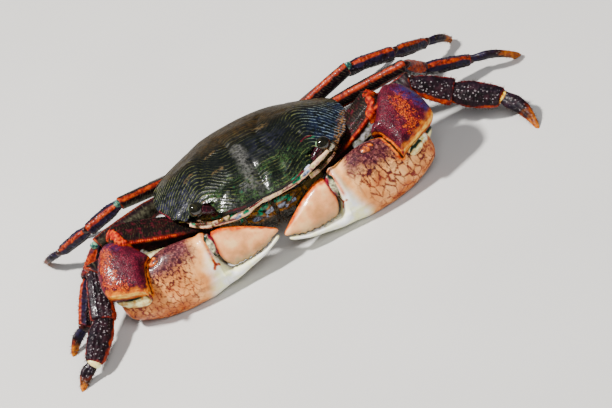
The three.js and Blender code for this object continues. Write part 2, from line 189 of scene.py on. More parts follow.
def spline(points, count, closed=False):
    """Points at even spacing on a smooth curve through the given ones."""
    p = np.asarray(points, float)
    if closed:
        q = np.vstack([p[-1:], p, p[:2]])
    else:
        q = np.vstack([2 * p[:1] - p[1:2], p, 2 * p[-1:] - p[-2:-1]])
    out = []
    t = np.linspace(0, 1, 40, endpoint=False)[:, None]
    for i in range(len(q) - 3):
        a, b, c, d = q[i:i + 4]
        bend = (2 * a - 5 * b + 4 * c - d) * t * t + (3 * b - a - 3 * c + d) * t ** 3
        out.append(0.5 * ((2 * b) + (c - a) * t + bend))
    out.append(q[-2][None] if not closed else q[1][None])
    line = np.vstack(out)
    length = np.r_[0, np.cumsum(np.linalg.norm(np.diff(line, axis=0), axis=1))]
    at = np.linspace(0, length[-1], count, endpoint=not closed)
    return np.stack([np.interp(at, length, line[:, c]) for c in range(p.shape[1])], -1)


def turned(angle, degrees):
    """The angle's distance from that many degrees, the short way round."""
    return (angle - math.radians(degrees) + math.pi) % TAU - math.pi


# ---------------------------------------------------------------- grids and meshes

class Grid:
    """A sheet of points, rows by columns, closed round its columns, with values at its points."""

    def __init__(self, name, points):
        self.name, self.p, self.values, self.outward = name, np.asarray(points, float), {}, 1.0
        if np.sum(self.raw_normals() * (self.p - self.p.mean(1, keepdims=True))) < 0:
            self.outward = -1.0

    def raw_normals(self):
        du = np.roll(self.p, -1, 1) - np.roll(self.p, 1, 1)
        dv = np.gradient(self.p, axis=0)
        return unit(np.cross(du, dv)) * self.outward

    def push(self, amount):
        """Moves each point along its normal by that many mm."""
        self.p = self.p + self.raw_normals() * np.asarray(amount)[..., None]
        return self

    def on_floor(self):
        self.p[..., 2] = np.maximum(self.p[..., 2], 0.0)
        return self

    def keep(self, **values):
        """Keeps values at the points, each spread over the rows and columns."""
        for name, value in values.items():
            self.values[name] = np.broadcast_to(value, self.p.shape[:2]).copy()
        return self

    def pick(self, names):
        return [self.values[name] for name in names.split()]

    def at_pixel(self, x, y):
        """The point of the surface nearest to that place in the picture, on the side that shows."""
        hidden = self.raw_normals() @ CAM_D > -0.05
        d = np.linalg.norm(project(self.p) - np.array([x, y]), axis=-1) + 50 * hidden
        return self.p.reshape(-1, 3)[np.argmin(d)]

    def near_line(self, pixels, spacing=2.0):
        """Distance in mm from each point to the surface line under those picture points."""
        pixels = np.asarray(pixels, float)
        line = []
        for a, b in zip(pixels[:-1], pixels[1:]):
            n = max(2, int(np.linalg.norm(b - a) / spacing) + 1)
            line += [a + (b - a) * t for t in np.linspace(0, 1, n)]
        found = np.array([self.at_pixel(*q) for q in line])
        for _ in range(3):
            found[1:-1] = (found[:-2] + 2 * found[1:-1] + found[2:]) / 4
        best = np.full(self.p.shape[:2], 1e9)
        for a, b in zip(found[:-1], found[1:]):
            ab = b - a
            t = np.clip(((self.p - a) @ ab) / max(ab @ ab, 1e-9), 0, 1)
            best = np.minimum(best, np.linalg.norm(self.p - (a + t[..., None] * ab), axis=-1))
        return best


def mesh_object(name, verts, flat, sizes, material, values=None, uv=None):
    """A smooth mesh from vertices in mm (crab's frame), all corners in a row, and how many each face has."""
    me = bpy.data.meshes.new(name)
    verts = (np.asarray(verts, float) + SHIFT) / 1000
    me.vertices.add(len(verts))
    me.vertices.foreach_set("co", verts.astype(np.float32).ravel())
    me.loops.add(len(flat))
    me.loops.foreach_set("vertex_index", np.asarray(flat, np.int32))
    me.polygons.add(len(sizes))
    me.polygons.foreach_set("loop_start", np.r_[0, np.cumsum(sizes)[:-1]].astype(np.int32))
    me.polygons.foreach_set("use_smooth", np.ones(len(sizes), bool))
    for key, value in (values or {}).items():
        layer = me.attributes.new(key, "FLOAT", "POINT")
        layer.data.foreach_set("value", np.asarray(value, np.float32).ravel())
    if uv is not None:
        layer = me.uv_layers.new(name="OFBake")
        layer.data.foreach_set("uv", np.asarray(uv, np.float32).ravel())
    me.update()
    me.validate()
    ob = bpy.data.objects.new(name, me)
    bpy.context.scene.collection.objects.link(ob)
    me.materials.append(material)
    return ob


# The unwrap of a grid: its share of the map, its lower corner, and the levels of each end's rim and middle.
UV_SHARE = np.array([0.98, 0.90])
UV_CORNER = np.array([0.01, 0.05])
UV_ENDS = ((0.05, 0.01), (0.95, 0.99))


def grid_mesh(grid, material, replaces=()):
    """The grid, closed at its ends, as an object that rides on the crab and stands for its CAD nodes."""
    rows, cols = grid.p.shape[:2]
    for name in MASKS[material.name]:
        grid.values.setdefault(name, np.zeros((rows, cols)))
    index = np.arange(rows * cols).reshape(rows, cols)
    right = np.roll(index, -1, 1)
    quads = np.stack([index[:-1], right[:-1], right[1:], index[1:]], -1).reshape(-1, 4)
    u = np.broadcast_to(np.arange(cols), (rows - 1, cols)) / cols
    v = np.broadcast_to(np.arange(rows - 1)[:, None], (rows - 1, cols)) / (rows - 1)
    corners = [(a / cols, b / (rows - 1)) for a, b in ((0, 0), (1, 0), (1, 1), (0, 1))]
    uvs = np.stack([np.stack([u + a, v + b], -1) for a, b in corners], -2).reshape(-1, 4, 2)
    flip = grid.outward < 0
    if flip:
        quads, uvs = quads[:, ::-1], uvs[:, ::-1]
    uvs = uvs * UV_SHARE + UV_CORNER
    verts = grid.p.reshape(-1, 3)
    values = {k: v.ravel() for k, v in grid.values.items()}
    flat, sizes, uv_flat = [quads.ravel()], [np.full(len(quads), 4)], [uvs.reshape(-1, 2)]
    around = np.arange(cols)
    for end, (row, (rim, middle)) in enumerate(zip((0, rows - 1), UV_ENDS)):
        centre = len(verts)
        verts = np.vstack([verts, grid.p[row].mean(0)])
        values = {k: np.r_[v, v[index[row]].mean()] for k, v in values.items()}
        tri = np.stack([right[row], index[row], np.full(cols, centre)], -1)
        across = np.stack([around + 1, around, around + 0.5], -1) / cols
        level = np.broadcast_to([rim, rim, middle], across.shape)
        tri_uv = np.stack([across * UV_SHARE[0] + UV_CORNER[0], level], -1)
        if (end == 1) != flip:
            tri, tri_uv = tri[:, ::-1], tri_uv[:, ::-1]
        flat.append(tri.ravel())
        sizes.append(np.full(cols, 3))
        uv_flat.append(tri_uv.reshape(-1, 2))
    ob = mesh_object(grid.name, verts, np.concatenate(flat), np.concatenate(sizes), material, values,
                     np.concatenate(uv_flat))
    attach(ob, "root")
    if replaces:
        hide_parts(*replaces)


# ---------------------------------------------------------------- node materials

MASKS = {}        # the names of the values that each material reads
MIDDLE_OF_NOISE = (0.3, 0.7)
# Where two or three colours stand on the scale of noise, and the same, a little wider.
STOPS = {2: (0.38, 0.62), 3: (0.38, 0.5, 0.64)}
WIDE = {2: (0.36, 0.64), 3: (0.36, 0.5, 0.64)}
SKIN_RADIUS = (1.0, 0.7, 0.5)
SKIN_DEPTH = 0.0008


class Nodes:
    """Short ways to write a procedural material; its colour so far is self.colour."""

    def __init__(self, name):
        self.material = bpy.data.materials.new(name)
        self.material.use_nodes = True
        self.tree = self.material.node_tree
        self.tree.nodes.clear()
        MASKS[self.material.name] = []

    def put(self, socket, value):
        if isinstance(value, bpy.types.NodeSocket):
            self.tree.links.new(value, socket)
        elif isinstance(value, (tuple, list)) and len(value) == 3 and socket.type == "RGBA":
            socket.default_value = (*value, 1.0)
        else:
            socket.default_value = value

    def node(self, kind, settings=None, **inputs):
        n = self.tree.nodes.new(kind)
        for k, v in (settings or {}).items():
            setattr(n, k, v)
        for k, v in inputs.items():
            key = int(k[1:]) if k[0] == "i" and k[1:].isdigit() else k.replace("_", " ")
            self.put(n.inputs[key], v)
        return n

    def value(self, name):
        MASKS[self.material.name].append(name)
        return self.node("ShaderNodeAttribute", {"attribute_name": name}).outputs["Fac"]

    def math(self, op, a, b=0.0):
        return self.node("ShaderNodeMath", {"operation": op}, i0=a, i1=b, i2=0.0).outputs[0]

    def add(self, a, b):
        return self.math("ADD", a, b)

    def mul(self, a, b):
        return self.math("MULTIPLY", a, b)

    def fit(self, x, low, high, out_low=0.0, out_high=1.0):
        """Smooth change from out_low at low to out_high at high."""
        n = self.node("ShaderNodeMapRange", {"interpolation_type": "SMOOTHSTEP"}, i0=x, i1=low, i2=high,
                      i3=out_low, i4=out_high)
        return n.outputs[0]

    def near(self, x, middle, outer, inner):
        """1 where x is within inner of the middle, 0 beyond outer."""
        return self.fit(self.math("ABSOLUTE", self.add(x, -middle)), outer, inner)

    def noise(self, size, detail=2.0, rough=0.5, distort=0.0):
        """Noise with features of that size in mm."""
        place = self.node("ShaderNodeTexCoord").outputs["Object"]
        n = self.node("ShaderNodeTexNoise", None, Vector=place, Scale=1000.0 / size, Detail=detail,
                      Roughness=rough, Distortion=distort)
        return n.outputs["Fac"]

    def patch(self, size, detail, rough, low, high):
        """Ragged patches: where such noise is above low, fully from high on."""
        return self.fit(self.noise(size, detail, rough), low, high)

    def vary(self, size, low, high):
        return self.fit(self.noise(size, 3), *MIDDLE_OF_NOISE, low, high)

    def cells(self, size, feature="F1"):
        place = self.node("ShaderNodeTexCoord").outputs["Object"]
        n = self.node("ShaderNodeTexVoronoi", {"feature": feature}, Vector=place, Scale=1000.0 / size,
                      Randomness=1.0)
        return n.outputs["Distance"]

    def stripes(self):
        """Wavy lines, one for each whole step of the piece's line value."""
        wave = self.math("FRACT", self.add(self.value("line"), self.mul(self.noise(0.5, 3, 0.6), 0.3)))
        return self.near(wave, 0.75, 0.2, 0.04)

    def ramp(self, x, places, colours):
        ramp = self.node("ShaderNodeValToRGB", None, Fac=x)
        stops = ramp.color_ramp.elements
        while len(stops) < len(colours):
            stops.new(0.5)
        for stop, place, colour in zip(stops, places, colours):
            stop.position = place
            stop.color = (*colour, 1.0)
        return ramp.outputs[0]

    def tint(self, size, detail, codes, at=None, rough=0.5, distort=0.0):
        """Colours that follow noise of that size, from their codes and places on its scale."""
        colours = [hue(code) for code in codes.split()]
        return self.ramp(self.noise(size, detail, rough, distort), at or STOPS[len(colours)], colours)

    def mix(self, factor, a, b):
        n = self.node("ShaderNodeMix", {"data_type": "RGBA", "blend_type": "MIX", "clamp_factor": True})
        for socket, value in zip((n.inputs[0], n.inputs[6], n.inputs[7]), (factor, a, b)):
            self.put(socket, hue(value) if isinstance(value, str) else value)
        return n.outputs[2]

    def paint(self, colour, *masks):
        """Lays a colour, a code or a tint, over the colour so far, where all its masks are 1."""
        factor = None
        for mask in masks:
            mask = self.value(mask) if isinstance(mask, str) else mask
            factor = mask if factor is None else self.mul(factor, mask)
        self.colour = self.mix(factor, self.colour, colour)

    def finish(self, rough, height=None, bump=0.3, depth=0.0001, coat=0.0, coat_rough=0.1, skin=0.0,
               specular=0.5):
        shader = self.node("ShaderNodeBsdfPrincipled")
        self.put(shader.inputs["Base Color"], self.colour)
        self.put(shader.inputs["Roughness"], rough)
        self.put(shader.inputs["Coat Weight"], coat)
        shader.inputs["Coat Roughness"].default_value = coat_rough
        shader.inputs["Specular IOR Level"].default_value = specular
        if skin:
            shader.inputs["Subsurface Weight"].default_value = skin
            shader.inputs["Subsurface Radius"].default_value = SKIN_RADIUS
            shader.inputs["Subsurface Scale"].default_value = SKIN_DEPTH
        if height is not None:
            b = self.node("ShaderNodeBump", None, Height=height, Strength=bump, Distance=depth)
            self.tree.links.new(b.outputs[0], shader.inputs["Normal"])
        out = self.node("ShaderNodeOutputMaterial")
        self.tree.links.new(shader.outputs[0], out.inputs[0])
        return self.material


def hue(code):
    """Linear colour from a hexadecimal code."""
    c = np.array([int(code[i:i + 2], 16) / 255 for i in (0, 2, 4)])
    return tuple(float(x) for x in np.where(c <= 0.04045, c / 12.92, ((c + 0.055) / 1.055) ** 2.4))


# ---------------------------------------------------------------- shapes shared with the CAD (mm)

MARGIN = np.array([
    [0, -13.8, 13.2], [3.4, -13.75, 13.3], [6.6, -13.4, 13.4], [9.3, -12.5, 13.4], [9.9, -10.9, 13.5],
    [10.4, -8.9, 13.7], [12.2, -7.9, 13.9], [14.2, -8.0, 13.6], [14.9, -8.8, 13.3], [15.7, -9.5, 13.1],
    [16.7, -7.9, 13.0], [18.0, -6.9, 13.0], [18.5, -5.2, 13.0], [19.3, -3.1, 13.0], [19.65, -0.6, 13.0],
    [19.3, 2.5, 12.7], [18.3, 5.6, 12.3], [15.8, 9.8, 11.0], [12.4, 14.0, 9.6], [8.0, 16.9, 9.0],
    [0, 17.9, 8.9]])
ORBIT_FIRST, ORBIT_LAST = 4, 8
TOP = 16.7
PER_SEGMENT = 12
CENTRE = np.array([0, 0.5, 0])
FLAT = np.array([1, 1, 0])

PALM = np.array([
    [0, 2.2, -1.4, 1.5], [1.0, 4.2, -3.1, 2.6], [3.4, 4.4, -4.4, 3.1], [7.2, 5.3, -5.6, 3.6],
    [12, 6.3, -6.1, 3.8],
    [16, 5.9, -6.0, 3.5], [19.6, 5.4, -5.3, 2.9], [20.1, -0.6, -5.2, 2.5], [21.8, -2.9, -4.95, 1.9],
    [25, -2.85, -4.15, 1.5], [28.6, -2.3, -3.1, 1.15], [31.8, -0.95, -1.75, 0.7]])
FINGER = np.array([
    [20.5, 5.0, -0.25, 2.3], [22.2, 5.0, -2.5, 2.3], [25, 4.1, -2.5, 2.0], [28.6, 2.2, -1.95, 1.45],
    [31.0, 0.75, -0.95, 0.9], [32.2, 0.0, -0.6, 0.45]])
CLAWS = {
    "left": dict(
        wrist=[31.1, -11.2, 5.6], tip=[-0.9, -16.2, 5.3], lean=20,
        shoulder=[10.8, -6.2, 6.4], elbow=[25.2, -4.8, 12.0], arm_end=[26.4, -3.0, 13.5],
        carpus=[[27.8, -3.4, 15.3], [31.8, -5.4, 12.9], [34.0, -9.7, 9.6], [26.0, -16.6, 9.0],
                [22.2, -9.2, 11.5], [24.2, -4.6, 13.9]]),
    "right": dict(
        wrist=[-33.3, -12.3, 4.6], tip=[0.2, -15.9, 6.9], lean=24,
        shoulder=[-10.8, -6.2, 6.4], elbow=[-27.0, -6.0, 11.6], arm_end=[-30.2, -4.6, 13.3],
        carpus=[[-31.6, -6.4, 14.2], [-33.7, -8.9, 12.5], [-34.5, -13.4, 9.0], [-27.2, -18.5, 8.5],
                [-24.2, -11.0, 11.2], [-28.0, -5.8, 13.5]]),
}
ARM = np.array([[0, 1.9, 2.0], [0.25, 2.5, 2.9], [0.6, 2.8, 3.5], [0.9, 2.7, 3.5], [1, 2.3, 3.0]])

LEGS = {
    "left": [
        [[12.6, -1.8, 6.2], [32.8, -0.2, 10.9], [39.1, -3.6, 7.2], [46.5, -7.9, 4.2], [49.5, -15.4, 0]],
        [[12.8, 3.2, 6.2], [32.9, 3.2, 13.0], [36.0, 8.1, 7.1], [45.1, 8.5, 3.8], [53.0, 7.7, 0]],
        [[11.6, 7.6, 6.0], [24.0, 13.6, 11.4], [32.8, 14.3, 9.2], [39.2, 18.6, 5.0], [43.9, 22.6, 0]],
        [[9.4, 11.4, 5.8], [17.8, 18.4, 6.8], [23.2, 21.6, 5.2], [28.6, 24.8, 2.8], [32.6, 27.6, 0]],
    ],
    "right": [
        [[-12.6, -1.8, 6.2], [-35.2, -6.1, 9.5], [-37.4, -13.9, 4.8], [-42.3, -21.8, 3.0], [-46.2, -23.6, 0]],
        [[-12.8, 3.2, 6.2], [-32.3, -0.7, 11.4], [-36.9, -0.4, 5.4], [-41.4, -10.2, 2.8], [-45.2, -12.4, 0]],
        [[-11.6, 7.6, 6.0], [-25.7, 8.8, 11.0], [-33.0, 9.4, 8.6], [-39.5, 12.4, 5.0], [-43.2, 18.3, 0]],
        [[-9.4, 11.4, 5.8], [-19.4, 15.2, 6.8], [-25.6, 17.4, 5.2], [-31.6, 19.2, 2.8], [-36.4, 20.8, 0]],
    ],
}
LEG_SECTIONS = {
    "merus": np.array([[0, 1.5, 1.35], [0.3, 1.7, 1.3], [0.6, 2.8, 1.4], [0.88, 2.6, 1.35], [1, 2.1, 1.25]]),
    "carpus": np.array([[0, 1.6, 1.2], [0.35, 2.1, 1.35], [0.85, 2.45, 1.3], [1, 2.2, 1.2]]),
    "propodus": np.array([[0, 2.1, 1.15], [0.35, 2.4, 1.2], [0.8, 2.1, 1.05], [1, 1.5, 0.95]]),
    "dactyl": np.array([[0, 1.25, 0.85], [0.3, 1.05, 0.75], [0.6, 0.85, 0.65], [0.85, 0.6, 0.5],
                        [1, 0.34, 0.34]]),
}
DACTYL_ARCH = 0.13
LEG_SCALE = [1, 1, 0.95, 0.7]
# How deep each leg is, in shares of its table's depth, and its last joint's depth and arch.
DEPTH = {"left": (1.0, 0.7, 0.62, 0.8), "right": (0.95, 0.66, 0.6, 0.8)}
CLAW_TIP = {("left", 1): (1.45, 0.1), ("left", 2): (1.35, 0.26), ("right", 1): (1.3, 0.12)}
PLAIN_TIP = (1.1, DACTYL_ARCH)
# Where the upper ends of the rear legs start, behind the CAD's places.
HIPS = {("left", 2): [8.0, 12.6, 5.8], ("left", 3): [6.0, 14.0, 5.6], ("left", 4): [4.0, 14.6, 5.2],
        ("right", 2): [-8.2, 12.6, 5.8], ("right", 3): [-6.0, 14.6, 5.6], ("right", 4): [-4.0, 15.4, 5.2]}


def ring(sides, exponent):
    """Unit offsets (across, up) round a superellipse."""
    a = TAU * np.arange(sides) / sides
    c, s = np.cos(a), np.sin(a)
    return np.sign(c) * np.abs(c) ** exponent, np.sign(s) * np.abs(s) ** exponent


def capped(length, cap_start, cap_end, spacing):
    """Places along a piece, packed closer over its rounded ends, and how wide it is there, from 0 to 1."""
    k = np.linspace(0, 1, 8)
    x = np.linspace(cap_start, length - cap_end, max(4, int((length - cap_start - cap_end) / spacing)))
    x = np.r_[cap_start * (1 - np.cos(k[:-1] * math.pi / 2)), x]
    if cap_end > 0:
        x = np.r_[x, length - cap_end * (1 - np.cos(k[-2::-1] * math.pi / 2))]
    wide = np.sqrt(np.clip(1 - ((cap_start - np.minimum(x, cap_start)) / cap_start) ** 2, 1e-4, 1))
    if cap_end > 0:
        beyond = np.maximum(x, length - cap_end) - length + cap_end
        wide *= np.sqrt(np.clip(1 - (beyond / cap_end) ** 2, 1e-4, 1))
    return x, wide


# ---------------------------------------------------------------- body

def margin_lines():
    """The carapace's margin at even steps, with its orbits' notches and with them closed."""
    def round_curve(half):
        whole = np.vstack([half, (half * [-1, 1, 1])[-2:0:-1]])
        q = np.vstack([whole[-1:], whole, whole[:2]])
        t = np.linspace(0, 1, PER_SEGMENT, endpoint=False)[:, None]
        out = []
        for i in range(len(whole)):
            a, b, c, d = q[i:i + 4]
            out.append(b + 0.5 * t * (c - a + t * (2 * a - 5 * b + 4 * c - d + t * (3 * (b - c) + d - a))))
        return np.vstack(out)
    shut = MARGIN.copy()
    first, last = MARGIN[ORBIT_FIRST - 1], MARGIN[ORBIT_LAST + 1]
    for i in range(ORBIT_FIRST, ORBIT_LAST + 1):
        shut[i] = first + (last - first) * (i - ORBIT_FIRST + 1) / (ORBIT_LAST - ORBIT_FIRST + 2)
    return round_curve(MARGIN), round_curve(shut)


def inward(margin, share):
    """The margin drawn in towards the middle of the body, flat at z = 0."""
    return CENTRE + (margin * FLAT - CENTRE) * share


def suture(y):
    """Height of the seam between the shell and the underside."""
    return 7.9 - 0.07 * y


# Swellings of the back: height, place across and its spread, place along and its spread.
SWELLINGS = [(0.42, 2.3, 1.5, -10.4, 1.3), (0.42, 6.4, 1.7, -9.9, 1.3), (0.3, 4.6, 2.8, -3.6, 2.6),
             (0.25, 0, 2.4, 4.6, 2.2), (0.3, 12.5, 4, 3, 5)]
# The shell's wall below its margin: share of the way down, and how far it is drawn in there.
WALL = [[0, 1.0], [0.06, 0.992], [0.2, 0.965], [0.42, 0.9], [0.62, 0.84], [1, 0.73]]


def back_relief(g, x, y, share):
    """Regions of the back: the front's lobes, the grooves between regions, the gill swellings."""
    ax = np.abs(x)
    relief = 0.12 * fbm(g.p, 3.0, 3, 5)
    for height, across, spread_x, along, spread_y in SWELLINGS:
        relief += height * bell(ax, across, spread_x) * bell(y, along, spread_y)
    relief -= 0.35 * bell(x, 0, 0.7) * step(-4, -8, y)
    relief -= 0.2 * bell(y + 0.02 * x * x, -7.6, 0.8) * step(10, 7, ax)
    relief -= 0.32 * bell(ax, 3.2 + 0.3 * (y - 2), 0.55) * step(-1, 1, y) * step(8, 5, y)
    relief -= 0.28 * bell(y, 1.6 - 0.12 * ax, 0.6) * step(8.5, 6, ax)
    relief -= 0.3 * bell(ax, 9.2 - 0.35 * (y + 2), 0.7) * step(-7, -4, y) * step(3, 0, y)
    return relief * (0.3 + 0.7 * step(0, 0.2, 1 - share))


def back_lines(g, x, y):
    """Raised lines across the back, bending forward towards the sides: their count, height and strength."""
    ax = np.abs(x)
    warp = 0.6 * fbm(g.p * [0.4, 1.0, 1.0], 3.6, 3, 11) + 0.1 * noise(g.p, 0.8, 12)
    phase = (y + 0.00142 * ax ** 3 + warp + 40) / (0.82 + 0.18 * step(4, 12, ax))
    strength = 0.3 + 0.7 * step(7, 13, ax) * step(12, 3, y) + 0.25 * step(-4, -9, y)
    strength = np.clip(strength, 0, 1)
    broken = step(-0.3, 0.25, noise(g.p * [0.6, 1.6, 1], 1.9, 31) + 0.35 * step(9, 13, ax))
    saw = phase % 1.0
    crest = np.where(saw < 0.72, (saw / 0.72) ** 2, 1 - (saw - 0.72) / 0.28)
    return phase, 0.085 * crest * strength * broken, strength * (0.3 + 0.7 * broken)


def make_carapace():
    real, shut = margin_lines()
    rows, shares, drops = [], [], []
    for s in np.r_[np.linspace(0.012, 0.9, 106), np.linspace(0.9, 1.0, 34)[1:]]:
        m = shut + (real - shut) * step(0.82, 1.0, s)
        p = inward(m, s)
        p[:, 2] = m[:, 2] + (TOP - m[:, 2]) * (1 - s ** 2.2)
        rows.append(p)
        shares.append(s)
        drops.append(0.0)
    for d in np.linspace(0, 1, 46)[1:]:
        m = shut + (real - shut) * (1 - step(0.15, 0.5, d))
        p = inward(m, table(WALL, d)[0])
        p[:, 2] = m[:, 2] + (suture(p[:, 1]) - m[:, 2]) * d
        rows.append(p)
        shares.append(1.0)
        drops.append(d)
    g = Grid("carapace_shell", rows).keep(share=np.array(shares)[:, None], drop=np.array(drops)[:, None])
    share, drop = g.pick("share drop")
    x, y = g.p[..., 0], g.p[..., 1]
    top, wall = (drop <= 0) * 1.0, (drop > 0) * 1.0
    g.push(back_relief(g, x, y, share) * top)
    phase, crest, shown = back_lines(g, x, y)
    g.push(crest * top * step(1.0, 0.985, share))
    g.push(0.04 * grains(g.p, 0.42, 3, 0.55, 0.1) * top * (0.3 + 0.7 * step(-3, -9, y)))
    # The sharp side margin, its two teeth and the thick ridge below the eyes and front.
    g.push(0.16 * bell(share, 0.992, 0.008) * top * step(9, 11, np.abs(x)))
    ridge = bell(drop, 0.17 + 0.1 * step(9, 13, np.abs(x)), 0.075) * step(-5.2, -8.2, y)
    g.push(0.38 * ridge * wall)
    g.push(-0.35 * bell(drop, 0.42, 0.1) * step(-6, -9, y) * wall)
    g.push((drop > 0.3) * 0.06 * grains(g.p, 0.36, 7, 0.5, 0.1))
    return g.keep(line=phase, lines=shown * top)


# The underside: share of the way down, how far it is drawn in; its seams along the body; its flat's height.
SIDE_WALL = [[0, 0.73], [0.35, 0.7], [0.7, 0.63], [1, 0.5]]
BREAST_SEAMS = (-6.5, -3.0, 0.8, 4.6, 8.4)
BELLY = 3.7


def make_thorax():
    _, shut = margin_lines()
    rows = []
    for d in np.linspace(0, 1, 40):
        p = inward(shut, table(SIDE_WALL, d)[0])
        p[:, 2] = (suture(p[:, 1]) - 0.1) * (1 - d) + BELLY * d
        rows.append(p)
    for s in np.linspace(0.5, 0.01, 60)[1:]:
        p = inward(shut, s)
        p[:, 2] = BELLY - 0.25 * (1 - (s / 0.5) ** 2)
        rows.append(p)
    g = Grid("breast_plates", rows)
    x, y = g.p[..., 0], g.p[..., 1]
    seams = sum(bell(y - 0.16 * np.abs(x), at, 0.28) for at in BREAST_SEAMS)
    under = step(5.0, 4.0, g.p[..., 2])
    g.push(-0.3 * seams * under - 0.25 * bell(x, 0, 0.25) * under)
    g.push(0.04 * fbm(g.p, 1.2, 3, 4))
    return g


TAIL = [[-9.4, 3.4], [-7, 4.6], [-3.5, 3.8], [0, 2.5], [3.6, 1.0]]     # forward place, half width
TAIL_SEAMS = (7.9, 6.3, 4.6, 2.8, 0.9, -1.0)


def make_abdomen():
    ys = np.linspace(9.4, -3.6, 90)
    half = table(TAIL, -ys)[0]
    ends = np.sqrt(np.clip(1 - (np.clip(-2.6 - ys, 0, 1) / 1.02) ** 2, 0.02, 1))
    ends *= np.sqrt(np.clip(1 - (np.clip(ys - 8.9, 0, 0.5) / 0.52) ** 2, 0.02, 1))
    c, s = ring(64, 0.85)
    p = np.stack([(half * ends)[:, None] * c, ys[:, None] + 0 * c, 2.98 + 0.47 * ends[:, None] * s], -1)
    g = Grid("folded_tail", p)
    seams = sum(bell(ys, at, 0.14) for at in TAIL_SEAMS)[:, None]
    folds = bell(np.abs(g.p[..., 0]), 1.6, 0.5) * (g.p[..., 2] < 2.9)
    return g.push(-0.16 * seams - 0.1 * (1 - seams) * folds)


ROUNDING = 1.6       # how fast a cushion's rings lose their outline's corners inwards


def blade(name, outline, normal, dome, depth, rows=40, squash=1.0):
    """A cushion on a closed outline, domed along its normal and behind it; its inner rings are rounder."""
    centre = outline.mean(0)
    waves = np.fft.fft(outline - centre, axis=0)
    waves[2:-1] = 0
    plain = np.real(np.fft.ifft(waves, axis=0))
    steep = math.pi / 2 * 0.985
    angles = np.r_[np.linspace(steep, 0, rows), -np.linspace(0, steep, rows // 2)[1:]]
    p = []
    for a in angles:
        height = dome if a > 0 else depth
        r = math.cos(a) ** squash
        ring_shape = r * (plain + (outline - centre - plain) * r ** ROUNDING)
        p.append(centre + ring_shape + np.asarray(normal) * math.sin(a) * height)
    return Grid(name, p).keep(rise=np.sin(angles)[:, None], reach=(np.cos(angles) ** squash)[:, None])


def rounded(corners, roundness):
    """A closed outline with a short cut in place of each corner."""
    corners = np.asarray(corners, float)
    out = []
    for c, before, after in zip(corners, np.roll(corners, 1, 0), np.roll(corners, -1, 0)):
        middle = (before + after) / 2
        out += [c + (before - c) * roundness, c + (middle - c) * roundness / 4, c + (after - c) * roundness]
    return np.array(out)


def tube(name, points, radii, sides=24, count=60):
    """A tapered round rod on a smooth path."""
    path = spline(points, count)
    k = np.linspace(0, 1, count)
    tail = 3.0 / count
    r = curve(np.linspace(0, 1, len(radii)), radii, k)
    r = r * np.sqrt(np.clip(1 - (np.clip(k - 1 + tail, 0, tail) / tail) ** 2, 0.01, 1))
    along = unit(np.gradient(path, axis=0))
    side = unit(np.cross([0, 0, 1], along))
    up = np.cross(along, side)
    c, s = ring(sides, 1)
    p = path[:, None] + r[:, None, None] * (c[:, None] * side[:, None] + s[:, None] * up[:, None])
    return Grid(name, p).keep(along=k[:, None])


def ball(name, centre, axes, radii, rows=40, sides=60):
    """An ellipsoid; its rows run from one pole of its first axis to the other."""
    a = np.linspace(0.02, math.pi - 0.02, rows)[:, None]
    c, s = ring(sides, 1)
    x, y, z = (np.asarray(v, float) * r for v, r in zip(axes, radii))
    around = c[:, None] * y + s[:, None] * z
    p = np.asarray(centre) + np.cos(a)[..., None] * x + np.sin(a)[..., None] * around
    return Grid(name, p).keep(c=np.sin(a) * c, s=np.sin(a) * s)


# ---------------------------------------------------------------- claws

def upright(v):
    return v if v[2] > 0 else -v


def forward(v):
    return v if v[1] < 0 else -v


def claw_frame(claw):
    """A claw's wrist, and the ways along it, up and out."""
    origin = np.array(claw["wrist"])
    along = unit(np.array(claw["tip"]) - origin)
    lean = math.radians(claw["lean"])
    out = forward(unit(np.cross(along, [0, math.sin(lean), math.cos(lean)])))
    return origin, along, upright(unit(np.cross(out, along))), out


def claw_loft(claw, shape, name, spacing, cap_start, cap_end, sides):
    """A palm or a finger at full detail; its rows are spaced evenly along its upper edge."""
    origin, along, up, out = claw_frame(claw)
    fine = np.linspace(shape[0, 0], shape[-1, 0], 4000)
    edge = table(shape, fine)[0]
    arc = np.r_[0, np.cumsum(np.hypot(np.diff(fine), np.diff(edge)))]
    x, wide = capped(arc[-1], cap_start, cap_end, spacing)
    d = np.interp(x, arc, fine)
    top, bottom, half = table(shape, d)
    c, s = ring(sides, 0.9)
    h = ((top + bottom) / 2)[:, None] + ((top - bottom) / 2 * wide)[:, None] * s
    width = (half * wide)[:, None] * c
    p = origin + d[:, None, None] * along + h[..., None] * up + width[..., None] * out
    return Grid(name, p).keep(d=d[:, None], h=h, v=s, face=c)


def saw_teeth(d, start, drift, wave, pitch):
    """A row of low teeth, from -0.5 to 0.5, at a pitch that wanders a little."""
    return np.abs(np.sin(math.pi * (d + start + drift * np.sin(wave * d)) / pitch)) ** 0.7 - 0.5


def make_palm(side):
    g = claw_loft(CLAWS[side], PALM, f"palm_{side}", 0.17, 0.9, 0.8, 150)
    d, h, v, face = g.pick("d h v face")
    # Lip round the joint with the movable finger, hollow below it, low teeth along the fixed finger.
    g.push(0.22 * bell(d, 18.9, 0.55) * step(-2.5, 0.5, h))
    g.push(-0.12 * bell(d, 17.7, 0.8) * step(-1.5, 1.0, h))
    teeth = saw_teeth(d, 0, 0.25, 1.7, 1.25)
    g.push(0.3 * teeth * step(21.2, 22.0, d) * step(31.5, 30.0, d) * step(0.75, 0.98, v))
    g.push(0.05 * fbm(g.p, 2.2, 3, 41) + 0.018 * fbm(g.p, 0.6, 2, 42))
    # A fine keel runs low along the outer face.
    g.push(0.13 * bell(h, -3.0, 0.4) * step(2, 6, d) * step(31, 26, d) * step(0.2, 0.6, np.abs(face)))
    return g.on_floor()


